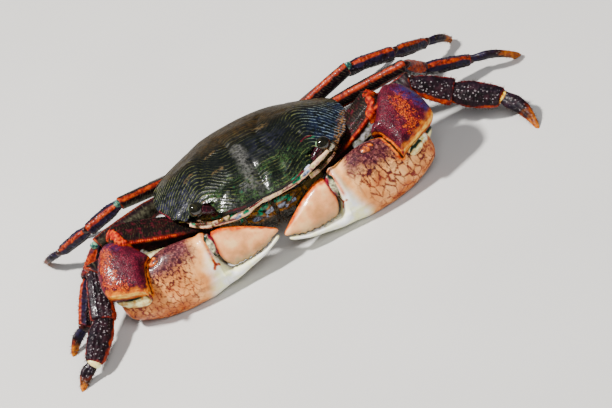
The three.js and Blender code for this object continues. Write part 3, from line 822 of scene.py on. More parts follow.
def make_finger(side):
    g = claw_loft(CLAWS[side], FINGER, f"finger_{side}", 0.14, 0.5, 0.5, 110)
    d, v = g.pick("d v")
    teeth = saw_teeth(d, 0.4, 0.2, 1.3, 1.3)
    g.push(0.24 * teeth * step(22.0, 23.0, d) * step(31.7, 30.5, d) * step(-0.75, -0.98, v))
    g.push(0.035 * fbm(g.p, 1.8, 3, 43))
    g.push(0.1 * bell(v, 0.62, 0.14) * step(21, 23, d) * step(31, 28, d))
    return g.on_floor()


def carpus_normal(corners):
    c = corners.mean(0)
    return upright(unit(sum(np.cross(p - c, q - c) for p, q in zip(corners, np.roll(corners, -1, 0)))))


def make_carpus(side):
    corners = np.array(CLAWS[side]["carpus"])
    normal = carpus_normal(corners)
    outline = spline(on_plane(WRIST_RIM[side], corners.mean(0), normal), 340, closed=True)
    g = blade(f"wrist_{side}", outline, normal, 2.6, 4.6, 90, 0.62)
    reach, rise = g.pick("reach rise")
    g.push(0.07 * bell(reach, 0.95, 0.02) * (rise > 0))
    g.push(0.12 * fbm(g.p, 2.6, 3, 51) + 0.035 * grains(g.p, 0.5, 52, 0.6, 0.15) * step(0.97, 0.85, reach))
    return g.on_floor()


ARM_SIDES = 160
ARM_KEELS = ((32, 0.16, 0.14), (128, 0.12, 0.25), (262, 0.08, 0.3))     # degrees round, height, width


def make_arm(side):
    """Arm with three keels, the front upper one toothed, and a rough lobe at its far end."""
    start, end = np.array(CLAWS[side]["shoulder"]), np.array(CLAWS[side]["arm_end"])
    length = np.linalg.norm(end - start)
    along = (end - start) / length
    across = forward(unit(np.cross([0, 0, 1], along)))
    up = upright(np.cross(along, across))
    x, wide = capped(length, 0.5, 1.2, 0.11)
    half_up, half_side = table(ARM, x / length) * wide
    a = TAU * np.arange(ARM_SIDES) / ARM_SIDES
    keel = 1 + sum(height * bell(turned(a, at), 0, width) for at, height, width in ARM_KEELS)
    p = (start + x[:, None, None] * along + half_side[:, None, None] * (np.cos(a) * keel)[:, None] * across
         + half_up[:, None, None] * (np.sin(a) * keel)[:, None] * up)
    g = Grid(f"arm_{side}", p).keep(s=(x / length)[:, None], a=a)
    s, a = g.pick("s a")
    teeth = 0.5 + 0.5 * np.cos(TAU * x / 0.42)[:, None]
    g.push(0.16 * teeth * bell(turned(a, ARM_KEELS[0][0]), 0, 0.07) * step(0.35, 0.5, s))
    lobe = step(1.2, 0.95, g.near_line(ARM_LOBE[side]) + 0.9 * np.abs(noise(g.p, 1.3, 66)))
    g.push(lobe * (0.2 + 0.3 * np.clip(0.5 + noise(g.p, 0.9, 67), 0, 1)))
    lines = (s * length + 0.5 * fbm(g.p, 2.5, 3, 61) + 0.8 * np.sin(a)) / 0.5
    top = step(math.radians(20), math.radians(50), a) * step(math.radians(200), math.radians(160), a)
    g.push(0.05 * (lines % 1.0) * top * (1 - lobe))
    return g.keep(line=lines, top=top, lobe=lobe, keel=bell(turned(a, ARM_KEELS[0][0]), 0, 0.09))


# ---------------------------------------------------------------- walking legs

LEG_SIDES = 64
MITRE_REACH = 2.2       # how far along the segment a mitred end's slant fades out, in its own depths


def leg_parts(side, number):
    """The joints and the four segments of one leg, mitred at the joints, its foot cut flat at the floor."""
    joints = [np.array(j, float) for j in LEGS[side][number - 1]]
    joints[0] = np.array(HIPS.get((side, number), joints[0]), float)
    ways = [unit(b - a) for a, b in zip(joints[:-1], joints[1:])]
    across = unit(np.cross(ways[0], joints[3] - joints[1]))
    slants = [ways[0]] + [unit(ways[k - 1] + ways[k]) for k in (1, 2, 3)] + [np.array([0, 0, -1.0])]
    ends = list(zip(joints, slants))
    parts = {name: leg_segment(side, number, k, name, ways[k], across, ends[k], ends[k + 1])
             for k, name in enumerate(LEG_SECTIONS)}
    return joints, parts


def leg_segment(side, number, k, name, along, across, near, far):
    scale, foot = LEG_SCALE[number - 1], name == "dactyl"
    tip_depth, arch = CLAW_TIP.get((side, number), PLAIN_TIP)
    start = near[0]
    length = np.linalg.norm(far[0] - start)
    thick = unit(across - (across @ along) * along)
    up = upright(unit(np.cross(thick, along)))
    x, wide = capped(length, 0.3 * scale, 0.0 if foot else 0.22 * scale, 0.125)
    s = x / length
    half_up, half_thick = table(LEG_SECTIONS[name], s) * scale
    half_up = half_up * (1 + (tip_depth - 1) * step(1.0, 0.5, s) if foot else DEPTH[side][number - 1])
    if not foot:
        flare = 1 + 0.05 * bell(x, length - 0.7 * scale, 0.5 * scale)
        half_up, half_thick = half_up * flare, half_thick * flare
    narrow = 0 if k == 0 else 0.12 if (number, k) == (1, 2) else 0.3
    neck = 1 - narrow * step(2.4 * scale, 0.3 * scale, x)
    half_up, half_thick = half_up * neck, half_thick * (0.25 + 0.75 * neck)
    c, u = ring(LEG_SIDES, 1.02)
    bow = arch * length * np.sin(math.pi * s) if foot else 0 * s
    height = bow[:, None] + (half_up * wide)[:, None] * u
    base = start + ((half_thick * wide)[:, None] * c)[..., None] * thick + height[..., None] * up
    place = x[:, None]
    tuck = -0.55 * scale if k > 0 else 0.0
    for (joint, slant), lift, at, away in ((near, tuck, 0, x), (far, 0, length, length - x)):
        shear = ((joint - base) @ slant + lift) / (along @ slant) - at
        reach = np.clip(MITRE_REACH * np.abs(shear).max(), 0.8, 0.5 * length)
        place = place + shear * np.clip(1 - away / reach, 0, 1)[:, None] ** 2
    g = Grid(f"leg_{number}_{name}_{side}_shell", base + place[..., None] * along)
    g.keep(s=s[:, None], x=x[:, None], v=u)
    g.length, g.scale, g.up, g.thick, g.along = length, scale, up, thick, along
    return g


def leg_relief(g, name, seed):
    """Keels, fine lines, granules and small spines of a leg segment, in its own coordinates."""
    s, x, v = g.pick("s x v")
    k = g.scale
    ends = step(0, 0.5, x) * step(0, 0.35, g.length - x)
    upper, lower = step(0.75, 0.97, v), step(-0.75, -0.97, v)
    saw = 0.5 + 0.5 * np.cos(TAU * (x + 0.15 * noise(g.p, 1.5, seed)) / (0.85 * k))
    if name == "merus":
        line = (x + 0.55 * fbm(g.p, 2.2, 3, seed) + 0.9 * v) / (0.6 * k)
        shown = step(-0.5, 0.1, v) * (0.4 + 0.6 * step(-0.2, 0.2, noise(g.p, 1.6, seed + 4)))
        spines = lower * step(0.8, 0.86, s) * step(1, 0.97, s) * (0.5 + 0.5 * np.cos(TAU * x / (0.7 * k)))
        g.push(0.055 * k * (line % 1.0) * shown * ends)
        g.push((0.1 + 0.02 * saw) * k * upper * ends)
        g.push(0.3 * k * spines)
    elif name == "dactyl":
        line = shown = bell(np.abs(v), 0.5, 0.12)
        g.push(-0.1 * k * bell(np.abs(v), 0.05, 0.2) * step(0, 0.12, s) * step(0.95, 0.75, s))
        g.push(0.04 * k * fbm(g.p, 0.7, 2, seed) * step(0.97, 0.9, s))
        g.on_floor()
    else:
        line = shown = bell(np.abs(v), 0.42, 0.09)
        g.push(0.16 * k * line * ends * step(-0.4, 0.2, noise(g.p, 2.5, seed + 3) + 0.4))
        g.push(-0.08 * k * bell(np.abs(v), 0.22, 0.12) * ends)
        g.push(0.1 * k * grains(g.p, 0.46 * k, seed, 0.55, 0.12) * ends)
        g.push((0.06 + 0.05 * saw) * k * (upper + 0.7 * lower) * ends)
    return g.keep(line=line, lines=shown, grain=0.5 + 0.5 * fbm(g.p, 1.1, 3, seed + 8))


# ---------------------------------------------------------------- materials

def carapace_material():
    n = Nodes("carapace_shell")
    moved = n.mul(n.add(n.noise(0.45, 3, 0.6), -0.5), 0.5)
    thin = n.near(n.math("FRACT", n.add(n.value("line"), moved)), 0.68, 0.14, 0.02)
    torn = n.patch(0.7, 4, 0.65, 0.38, 0.54)
    n.colour = n.tint(2.4, 4, "080a0a 0a0d0d 10120f", WIDE[3], 0.6)
    n.paint(n.tint(0.9, 5, "0e0c08 1c140a 2f2110", (0.36, 0.5, 0.66), 0.7), "olive")
    n.paint("131a2e", "blue", n.patch(1.1, 4, 0.6, 0.4, 0.66))
    n.paint("1e1e2e", "violet", n.patch(1.3, 3, 0.6, 0.4, 0.6))
    curl = n.near(n.noise(0.85, 3, 0.6, 1.5), 0.5, 0.022, 0.006)
    some = n.patch(2.4, 3, 0.6, 0.45, 0.6)
    n.paint("3a532c", "green", curl, n.add(0.25, n.mul(some, 0.75)))
    n.paint("294120", "green", n.mul(some, n.patch(0.45, 4, 0.65, 0.52, 0.6)))
    n.paint("133d28", "green", n.patch(0.8, 3, 0.6, 0.64, 0.7))
    n.paint("575653", "pale", n.patch(0.55, 5, 0.7, 0.34, 0.7))
    stripe = n.mix(n.value("blue"), n.tint(1.3, 2, "384121 6a6d3b", (0.35, 0.65)), "606f77")
    n.paint(stripe, thin, "lines", torn)
    n.paint("513e1f", "olive", thin, n.mul(torn, 0.6))
    n.paint("483a24", "tan", n.patch(0.5, 4, 0.65, 0.42, 0.58))
    n.paint("77512c", "orange", n.patch(0.4, 5, 0.7, 0.46, 0.6))
    n.paint(n.tint(0.5, 5, "1f1a0c 473d1f 82712e", WIDE[3], 0.7), "cheek")
    n.paint(n.tint(0.7, 4, "100e0a 322410 764f13", (0.38, 0.52, 0.66), 0.6), "mouth")
    fleck = n.noise(1.3, 2, 0.5)
    n.paint("116343", "mouth", n.fit(fleck, 0.56, 0.6))
    n.paint("605e90", "mouth", n.fit(fleck, 0.42, 0.39))
    n.paint(n.tint(0.8, 4, "51532f b2ae51", WIDE[2], 0.6), "sage")
    n.paint(n.tint(0.9, 4, "9a5b5e f1eac4 f1f1dd 949a65", (0.36, 0.47, 0.56, 0.66), 0.6, 0.6), "band")
    n.paint(n.tint(0.6, 3, "0d4029 05825d"), "emerald")
    n.paint(n.tint(0.6, 3, "5b599b dedcf1"), "lilac")
    n.paint(n.tint(0.7, 3, "340b13 6a1326"), "crimson")
    rough = n.add(n.vary(0.8, 0.24, 0.4), n.mul(n.value("olive"), 0.25))
    coat = n.add(0.2, n.mul(n.value("olive"), -0.18))
    relief = n.add(n.noise(0.3, 3, 0.6), n.mul(thin, 0.5))
    return n.finish(rough, relief, 0.35, 0.00007, coat, 0.08, specular=0.12)


def palm_material():
    n = Nodes("palm_shell")
    n.colour = n.tint(4.0, 4, "b46837 db904b f1b06e", WIDE[3], 0.55)
    n.paint("af510a", "orange", n.patch(1.2, 4, 0.6, 0.3, 0.6))
    torn = n.patch(0.5, 4, 0.6, 0.33, 0.5)
    n.paint(n.tint(1.4, 3, "5d1915 7f2d1d"), "net", torn)
    n.paint(n.tint(0.7, 5, "35101e 532430 774345", WIDE[3], 0.7), "purple")
    veins = n.add(n.mul(n.patch(0.5, 4, 0.65, 0.47, 0.56), 0.7), n.mul(n.value("net"), 0.6))
    n.paint("370f1b", "purple2", veins)
    n.paint("1c080f", "purple", n.mul(n.value("veins"), 0.7))
    n.paint("985954", "purple", n.patch(0.35, 3, 0.6, 0.6, 0.66))
    n.paint(n.tint(2.0, 3, "f1f1b1 f1f1f1", WIDE[2]), "white")
    n.paint(n.tint(0.7, 4, "b3a434 f1f1d7", (0.38, 0.6), 0.6), "cream")
    n.paint(n.tint(0.6, 3, "972c0e e67b07"), "rim")
    n.paint(n.tint(0.6, 3, "540b17 8c0e21"), "crimson")
    n.paint("133023", "green")
    # Painted shade: a dark line in the gap along the joint's lip and a dark ring in the knob's groove.
    n.paint("190e0b", "dark")
    relief = n.add(n.noise(0.4, 3), n.mul(n.value("net"), -0.6))
    return n.finish(n.vary(0.6, 0.3, 0.46), relief, 0.3, 0.00006, 0.14, 0.08, 0.03, 0.15)


def finger_material():
    n = Nodes("finger_shell")
    n.colour = n.tint(3.0, 4, "c98850 e99e64 f1bf81", WIDE[3])
    n.paint(n.tint(0.8, 3, "a92e06 d76907", WIDE[2]), "orange")
    n.paint("8f7b5a", "grey")
    n.paint(n.tint(0.5, 3, "3f0916 7e0a25"), "crimson")
    return n.finish(n.vary(0.6, 0.22, 0.36), n.noise(0.4, 3), 0.2, 0.00005, 0.16, 0.08, 0.03, 0.15)


def wrist_material():
    n = Nodes("wrist_shell")
    net = n.cells(0.36, "DISTANCE_TO_EDGE")
    n.colour = n.tint(1.1, 5, "2e0816 4f0d20 671427", WIDE[3], 0.65)
    n.paint("1f080f", n.mul(n.fit(net, 0.14, 0.03), 0.85))
    n.paint("74222a", n.mul(n.fit(net, 0.3, 0.42), 0.5))
    mottle = n.add(n.noise(0.5, 5, 0.7, 0.6), n.mul(n.value("mottle"), 0.3))
    spots = n.mul(n.fit(net, 0.06, 0.16), n.fit(mottle, 0.6, 0.76))
    n.paint(n.tint(0.7, 3, "a22a07 be5105"), spots)
    n.paint("29204f", "violet", n.patch(0.9, 4, 0.6, 0.35, 0.6))
    n.paint(n.tint(0.9, 4, "ab3b06 d77706", rough=0.6), "edge")
    n.paint(n.tint(1.1, 3, "d17706 f1c553", (0.36, 0.6)), "cream")
    n.paint("700b19", "crimson")
    n.paint("180d0f", "dark")
    relief = n.add(n.noise(0.25, 3, 0.6), n.mul(n.fit(net, 0.0, 0.3), 1.2))
    return n.finish(n.vary(0.5, 0.34, 0.5), relief, 0.35, 0.00007, 0.12, specular=0.12)


def arm_material():
    n = Nodes("arm_shell")
    n.colour = n.tint(1.1, 5, "0a0807 120909 240b0b", WIDE[3], 0.65)
    n.paint("332d1c", n.stripes(), "top", n.patch(0.6, 4, 0.6, 0.46, 0.6))
    n.paint("400e17", "top", n.patch(0.9, 3, 0.5, 0.56, 0.66))
    n.paint(n.tint(0.7, 4, "5e1210 991a08 ba4a05"), "orange")
    n.paint(n.tint(0.8, 4, "7b7b5b f1f1f1", (0.38, 0.6), 0.6), "pale")
    n.paint("1f322a", "green")
    return n.finish(n.vary(0.5, 0.5, 0.7), n.noise(0.3, 3, 0.6), 0.35, 0.00007, 0.02, specular=0.06)


def leg_material():
    n = Nodes("leg_shell")
    base = n.add(n.mul(n.noise(0.8, 5, 0.7), 0.6), n.mul(n.value("grain"), 0.4))
    n.colour = n.ramp(base, STOPS[3], [hue("0c090a"), hue("170d12"), hue("29161c")])
    n.paint("1f1b33", "blue", n.patch(0.9, 4, 0.6, 0.38, 0.58))
    n.paint("444030", n.stripes(), "stripes", n.patch(0.5, 4, 0.5, 0.42, 0.56))
    # Painted glints: small pale grey dots where the granules catch the light, with a little more coat there.
    specks = n.fit(n.add(n.cells(0.5), n.mul(n.noise(0.3, 3), 0.55)), 0.64, 0.42)
    n.paint("7d7577", "specks", n.mul(specks, n.patch(1.0, 4, 0.6, 0.36, 0.48)))
    n.paint(n.tint(0.7, 5, "27221b 3c392d 585543", rough=0.65), "grey")
    n.paint(n.tint(0.7, 4, "340a0c 5a1112 832112"), "red")
    n.paint(n.tint(0.7, 4, "5e170f 83230c a73e05"), "orange")
    n.paint(n.tint(0.6, 3, "796940 f1f1a0"), "pale")
    n.paint(n.tint(0.6, 4, "742e14 c67307"), "tip")
    coat = n.add(0.03, n.mul(n.value("specks"), 0.22))
    return n.finish(n.vary(0.5, 0.3, 0.48), n.noise(0.25, 3, 0.6), 0.45, 0.00007, coat, 0.08, specular=0.1)


def eye_material():
    n = Nodes("eye_glass")
    n.colour = n.tint(0.7, 3, "0b0b08 13120c 252414", (0.36, 0.5, 0.66), 0.6)
    n.paint(n.tint(0.5, 3, "3c523f 90b984", (0.4, 0.6)), "rim")
    return n.finish(0.1, n.cells(0.09, "DISTANCE_TO_EDGE"), 0.08, 0.00001, 0.6, 0.03)


def face_material():
    """Mouth plates and feelers: gold-brown edges, emerald and lilac patches, dark between."""
    n = Nodes("face_shell")
    n.colour = n.tint(0.8, 4, "191309 2e230e 463517", rough=0.65)
    n.paint(n.tint(0.5, 3, "0f3a28 07825a", (0.4, 0.6)), "emerald")
    n.paint(n.tint(0.5, 3, "434a5e 8b9eb4", (0.4, 0.6)), "lilac")
    n.paint(n.tint(0.5, 4, "513113 94620d"), "gold")
    n.paint("100e09", "shade")
    n.paint(n.tint(0.8, 4, "79504f f1c49d a5a05f", WIDE[3], 0.6), "band")
    n.paint("5d1122", "crimson")
    return n.finish(n.vary(0.5, 0.2, 0.36), n.noise(0.3, 3, 0.6), 0.3, 0.00005, 0.4, 0.08, specular=0.2)


def stalk_material():
    n = Nodes("eyestalk_shell")
    n.colour = n.tint(0.5, 4, "0f0709 20080e 42101f", rough=0.65)
    # Painted glints: small pale grey dots on the dark stalk.
    n.paint("745e65", n.fit(n.cells(0.6), 0.14, 0.08))
    return n.finish(0.22, n.noise(0.25, 3, 0.6), 0.4, 0.00005, 0.5, 0.08, specular=0.2)


def plain_material(name, codes, size, rough):
    n = Nodes(name)
    n.colour = n.tint(size, 4, codes, (0.32, 0.68), 0.6)
    return n.finish(n.vary(size * 0.6, rough * 0.8, rough * 1.2), n.noise(size * 0.4, 3), 0.3, 0.00006, 0.3)


def membrane_material():
    """Skin of the joints: pale, with a mask for each colour that shows between two pieces."""
    n = Nodes("joint_skin")
    n.colour = n.tint(0.6, 4, "6b6958 a29e7d f1f1b7", (0.34, 0.5, 0.66), 0.6)
    n.paint(n.tint(0.5, 4, "143230 275f58 8eb78c"), "teal")
    n.paint(n.tint(0.5, 4, "7d4212 ba7706 f1da5c"), "amber")
    n.paint(n.tint(0.9, 3, "c48f43 f1f1ab", WIDE[2]), "cream")
    n.paint(n.tint(0.6, 3, "140a0a 341311"), "shadow")
    n.paint("10261e", "green")
    n.paint(n.tint(0.5, 3, "3d0917 7e0927"), "crimson")
    return n.finish(0.3, n.noise(0.25, 4, 0.6), 0.5, 0.00008, 0.2, specular=0.2)


# ---------------------------------------------------------------- places in the picture (pixels)

WRIST_RIM = {
    "left": [(383, 87), (392, 84.5), (402, 86), (411, 90), (420, 97), (427, 104), (432.5, 112), (432, 119),
             (426, 127.5),
             (418, 136.5), (411, 144.5), (407, 150), (403.5, 155), (403, 155), (399.5, 150.5), (395, 145),
             (389, 139.5),
             (382, 135), (376, 133.5), (371.5, 134.5), (371.5, 130), (375, 124), (376.5, 116), (377, 106),
             (378.5, 95)],
    "right": [(101.4, 252), (99, 262), (98.6, 275), (101, 287), (106, 297), (112, 300), (125, 298.6),
              (138, 295.6),
              (147, 294.6), (151.5, 298.5), (151.5, 297.5), (150, 290), (147.4, 282), (145.4, 274),
              (144.8, 266),
              (147, 260.5), (149.5, 257), (140, 252.5), (132, 248.5), (124, 245.5), (115, 244), (107, 245.5)],
}
ARM_LOBE = {
    "left": [(378, 87), (371, 90), (368, 97), (371, 105), (370, 112), (373, 119)],
    "right": [(106, 236), (113, 234), (118, 237), (122, 243), (127, 249), (136, 254)],
}
# Lines of the back: softness and seed of their ragged edge, then half width in mm and places of each.
BACK_LINES = {
    "tan": (0.3, 3, (0.7, (254, 130), (265, 124.5)), (0.5, (206, 158), (214, 152)), (0.6, (214, 173),
            (221, 168)),
            (0.6, (185, 182), (190, 176)), (0.3, (243, 211), (247, 209))),
    "orange": (0.3, 1, (1.3, (344, 113), (343, 121), (341, 131), (336, 146))),
    "sage": (0.5, 1, (0.5, (182, 231), (202, 231.5), (222, 228.5), (236, 223)),
             (0.55, (296, 192), (310, 182), (323, 168), (333, 151))),
    "lilac": (0.6, 6, (0.4, (304, 186), (307, 182)), (0.4, (236, 219), (239, 216)), (0.4, (265, 203),
              (269, 201)),
              (0.4, (306, 169), (309, 166))),
    "crimson": (0.6, 7, (0.24, (213, 215), (238, 209), (250, 204)),
                (0.2, (250, 204), (262, 199.5), (290, 183.5), (303, 171)), (0.15, (301, 141), (305, 137),
                (311, 135.5)),
                (0.3, (204, 202), (210, 208), (212, 214)), (0.16, (216, 224), (226, 223), (236, 218)),
                (0.4, (152, 217), (160, 223), (170, 229))),
    "emerald": (0.6, 5, (0.42, (193, 221), (198, 222)), (0.42, (214, 218.5), (221, 216.5)),
                (0.42, (229, 215), (234, 213.5)), (0.42, (244, 216), (248, 214)), (0.42, (294, 180),
                (299, 175.5)),
                (0.42, (291, 190), (296, 188)), (0.42, (276, 200), (281, 198))),
}
SOCKET_LINE = [(309, 138.5), (314, 136.5)]
BLUE_LINES = ([(318, 126), (330, 133), (337, 139)], [(333, 104), (341, 108)])
PALE_LINES = ([(237, 148), (244, 163), (252, 182)], [(252, 182), (262, 190)])
FRONT_LINE = [(190, 225), (204, 226.5), (219, 222.5), (235, 217.6), (249, 210.5), (256, 203.1), (273, 194.6),
              (290, 185.1), (299, 179.1), (307.6, 171.5), (316.2, 162.6), (327.4, 151.4), (331.7, 145.5)]
RIDGE_LINES = {
    "emerald": (0.6, 5, (0.45, (193, 221), (198, 223)), (0.45, (214, 219), (221, 217)), (0.45, (229, 217),
                (234, 214)),
                (0.45, (244, 213), (248, 211)), (0.45, (294, 182), (299, 178))),
    "lilac": (0.6, 6, (0.4, (203, 224), (209, 224)), (0.4, (236, 219), (240, 216)), (0.4, (303, 176),
              (308, 171))),
    "crimson": (0.6, 7, (0.18, (216, 224.5), (236, 219)), (0.18, (250, 208), (262, 200)),
                (0.18, (283, 191), (297, 183))),
}
# Patches of the mouth: half width in mm, seed, and the places of each.
MOUTH_LINES = {
    "emerald": (0.5, 5, [(255, 215), (261, 209), (266, 205)], [(272, 203), (280, 199), (288, 195)],
                [(241, 221), (248, 215)]),
    "lilac": (0.55, 6, [(256, 222), (264, 216)], [(268, 214), (274, 209)], [(281, 207), (288, 203),
              (295, 201)]),
    "gold": (0.34, 7, [(246, 219), (255, 212), (266, 203.6)], [(266, 204), (269, 211), (273, 216)],
             [(246, 224), (261, 225), (273, 217), (284, 212)], [(284, 212), (294, 208), (300, 199)],
             [(276, 206), (281, 200), (292, 194)]),
}
# Claws: the joint's lip, the skin strips below the wrist, the knob, the finger's mark, the wrist's edges, the
# pale line below the arm and the fold of skin at the elbow; then how the palm's net runs.
CLAW_MARKS = {
    "left": dict(
        lip=[(372.5, 137.5), (380, 136.5), (388, 141.5), (394, 147), (399, 153), (403, 158)],
        strip=[(411, 145), (419, 136), (429.5, 123.5)], cream=[(412, 149), (417, 144), (424, 137)],
        skin=[(410, 150.6), (421, 139.1), (433, 122.6)],
        condyle=(367.3, 147.5), mark=[[(339, 197), (343, 202), (347, 200)], [(343, 202), (343, 207)]],
        far=[(404, 152), (408, 147), (414, 140), (421, 132), (428, 123), (433, 114)],
        near=[(374, 134), (379, 133), (387, 138), (394, 144), (401, 151)],
        violet=[(400, 88), (416, 96), (427, 106), (431, 112)],
        orange=[(399, 97), (404, 108), (410, 120), (415, 128)], tooth=(403, 153),
        under=[(374, 122), (371, 129), (365, 137), (357, 145)],
        fold=[(376, 120), (376.5, 127), (372, 134), (363, 140), (356, 145), (360, 137), (367, 128),
              (372, 122)],
        fold_place=[21.6, -7.4, 10.0], net_flat=0.5, net_size=1.35, violet_share=1.0),
    "right": dict(
        lip=[(149, 259), (145.5, 266), (146, 276), (149, 286), (152, 294)],
        strip=[(118, 302.5), (128, 301), (138, 298)], cream=[(139, 302), (145, 299.5)],
        skin=[(117, 301.5), (128, 300), (140, 297)],
        condyle=(152, 262), mark=[[(213, 260), (216, 265), (220, 264)], [(216, 265), (215, 269)]],
        far=[(150, 294), (138, 293.5), (125, 296.5), (112, 298)],
        near=[(148.5, 258), (145, 266), (145.8, 276), (148, 286), (150.5, 294)],
        violet=[(107, 247), (115, 246)],
        orange=[(104, 252), (105, 268), (109, 282), (122, 288)], tooth=(150.5, 296),
        under=[(142, 253), (152, 256), (160, 254), (168, 250)],
        fold=[(138, 253), (150, 250.5), (162, 247.5), (173, 245.5), (166, 250), (157, 257), (149.5, 263),
              (147, 258.5)],
        fold_place=[-23.0, -9.0, 9.4], net_flat=0.85, net_size=1.0, violet_share=0.35),
}


def along_line(g, pixels, width, soft=0.5, seed=1):
    """1 on the surface line under those picture points, fading over its ragged edges."""
    d = g.near_line(pixels) + 0.35 * width * noise(g.p, 0.7, seed)
    return step(width, width * soft, d)


def draw(g, lines):
    """Keeps one value for each kind of line in such a table."""
    for name, (soft, seed, *each) in lines.items():
        total = sum(along_line(g, places, width, soft, seed) for width, *places in each)
        g.values[name] = np.clip(total, 0, 1)


def along_front(g, pixels, width, seed):
    """Like along_line, straight back from a flat front just before the mouth plates."""
    ends = on_plane(pixels, np.array([0, -12.75, 9.0]), np.array([0, -0.96, 0.28]))
    steps = np.linspace(0, 1, 12)[:, None]
    line = np.concatenate([a + (b - a) * steps for a, b in zip(ends[:-1], ends[1:])])
    d = np.sqrt(((g.p[..., None, [0, 2]] - line[:, [0, 2]]) ** 2).sum(-1)).min(-1)
    return step(width, 0.65 * width, d + 0.25 * width * noise(g.p, 0.6, seed))


def face_patches(g):
    """Emerald, lilac and gold of the mouth plates, where the picture shows them."""
    emerald, lilac, gold = (sum(along_front(g, q, width, seed) for q in lines)
                            for width, seed, *lines in MOUTH_LINES.values())
    emerald, lilac = np.clip(emerald, 0, 1), np.clip(lilac, 0, 1)
    gold = np.clip(0.5 * g.values.get("gold", 0) + gold, 0, 1)
    lilac = lilac * (1 - emerald)
    g.keep(emerald=emerald, lilac=lilac, gold=gold * (1 - np.maximum(emerald, lilac)))


# ---------------------------------------------------------------- small parts: face, skins, bristles

EYE_RADIUS = 1.42
STALK_FOOT = np.array([10.3, -10.7, 13.3])
ANTENNA = np.array([[8.2, -13.2, 11.9], [10.4, -12.9, 12.1], [12.6, -12.1, 12.4], [14.4, -11.1, 12.7]])
ANTENNA_JOINTS = (0.3, 0.52, 0.66, 0.76, 0.84, 0.9, 0.95)
MOUTH_PLATE = np.array([[0.3, -12.2, 10.3], [3.2, -12.4, 10.6], [5.9, -11.9, 9.9], [5.6, -11.5, 7.0],
                        [3.7, -11.2, 4.9], [0.4, -11.3, 4.3]])
MOUTH_RODS = {
    "mouth_outer": ([[6.3, -11.7, 6.4], [6.6, -12.1, 8.2], [6.4, -12.5, 10.2]], [0.2, 0.32, 0.34]),
    "mouth_palp": ([[4.4, -12.9, 10.2], [3.2, -13.3, 9.7], [2.2, -13.3, 8.8], [1.9, -12.9, 7.8]],
                   [0.4, 0.42, 0.34, 0.2]),
}


def mirrored(points, side):
    return np.asarray(points, float) * ([1, 1, 1] if side == "left" else [-1, 1, 1])


def make_eye(side):
    centre, foot = mirrored(EYE, side), mirrored(STALK_FOOT, side)
    along = unit(centre - foot)
    across = unit(np.cross([0, 0, 1], along))
    radii = (EYE_RADIUS * 1.04, EYE_RADIUS, EYE_RADIUS)
    g = ball(f"eye_{side}_globe", centre, (along, across, np.cross(along, across)), radii, 48, 72)
    # A pale crescent at the eye's inner edge, as the picture shows it.
    ahead = (g.p - centre) @ -CAM_D / EYE_RADIUS
    inner = (g.p - centre) @ -(0.86 * CAM_R + 0.5 * CAM_U) / EYE_RADIUS
    crescent = step(0.05, 0.2, ahead) * step(0.62, 0.48, ahead) * step(0.5, 0.72, inner)
    return g.keep(rim=crescent * (1.0 if side == "left" else 0.12))


def make_stalk(side):
    centre, foot = mirrored(EYE, side), mirrored(STALK_FOOT, side)
    path = [foot + share * (centre - foot) for share in (-0.1, 0.15, 0.4, 0.78)]
    g = tube(f"eyestalk_{side}_shell", path, [0.45, 0.78, 0.86, 0.9], 60, 60)
    return g.push(0.09 * fbm(g.p, 0.8, 3, 82) + 0.05 * grains(g.p, 0.35, 83, 0.5, 0.1))


def make_antenna(side):
    g = tube(f"antenna_{side}_shell", mirrored(ANTENNA, side), [0.55, 0.4, 0.3, 0.26], 48, 140)
    joints = np.clip(sum(bell(g.values["along"], at, 0.012) for at in ANTENNA_JOINTS), 0, 1)
    g.push(-0.07 * joints + 0.03 * fbm(g.p, 0.7, 3, 84))
    g.keep(crimson=0.8 * joints, band=0.55 * step(0.1, 0.5, noise(g.p, 1.1, 85)))
    gold, shade = step(-0.2, 0.3, noise(g.p, 0.9, 89)), step(-0.1, 0.3, noise(g.p, 1.1, 90))
    return g.keep(gold=0.45 * gold, shade=0.3 * shade)


def make_mouth_plate(side):
    outline = spline(rounded(mirrored(MOUTH_PLATE, side), 0.26), 240, closed=True)
    g = blade(f"mouth_plate_{side}_shell", outline, [0, -1.0, 0], 0.65, 0.45, 50, 0.55)
    x, z = np.abs(g.p[..., 0]), g.p[..., 2]
    reach, rise = g.pick("reach rise")
    front = (rise > 0) * 1.0
    split = np.abs(z - 8.35 - 0.28 * (x - 3))
    keel = bell(x - 3.3 + 0.12 * (z - 8), 0, 0.35) * step(8.2, 7.4, z)
    relief = -0.22 * bell(split, 0, 0.22) + 0.14 * keel + 0.12 * bell(reach, 0.93, 0.03)
    g.push(front * (relief + 0.04 * fbm(g.p, 0.8, 3, 86)))
    gold = bell(split, 0.42, 0.14) + step(0.86, 0.93, reach) * front + 0.7 * keel
    g.keep(gold=np.clip(gold, 0, 1), shade=step(8.0, 6.0, z) * 0.75)
    face_patches(g)
    return g


def make_mouth_rod(name, path, radii, side):
    g = tube(f"{name}_{side}", mirrored(path, side), radii, 28, 60)
    g.push(0.03 * fbm(g.p, 0.6, 3, 87))
    face_patches(g)
    emerald, lilac = g.pick("emerald lilac")
    return g.keep(gold=np.clip(0.7 * step(-0.1, 0.3, noise(g.p, 0.8, 88)) - emerald - lilac, 0, 1))


def joint_pad(name, centre, axes, radii):
    g = ball(name, centre, axes, radii, 30, 40)
    return g.push(0.04 * fbm(g.p, 0.5, 2, 91))


TRIANGLE = np.array([[1, 0], [-0.5, 0.866], [-0.5, -0.866]])
BRISTLE_RINGS = ((-0.12, 1.0), (0.45, 0.72), (0.8, 0.4))      # share of the length, share of the radius
TUFT_PATCH = 0.003                                            # a bristle's size on the unwrap
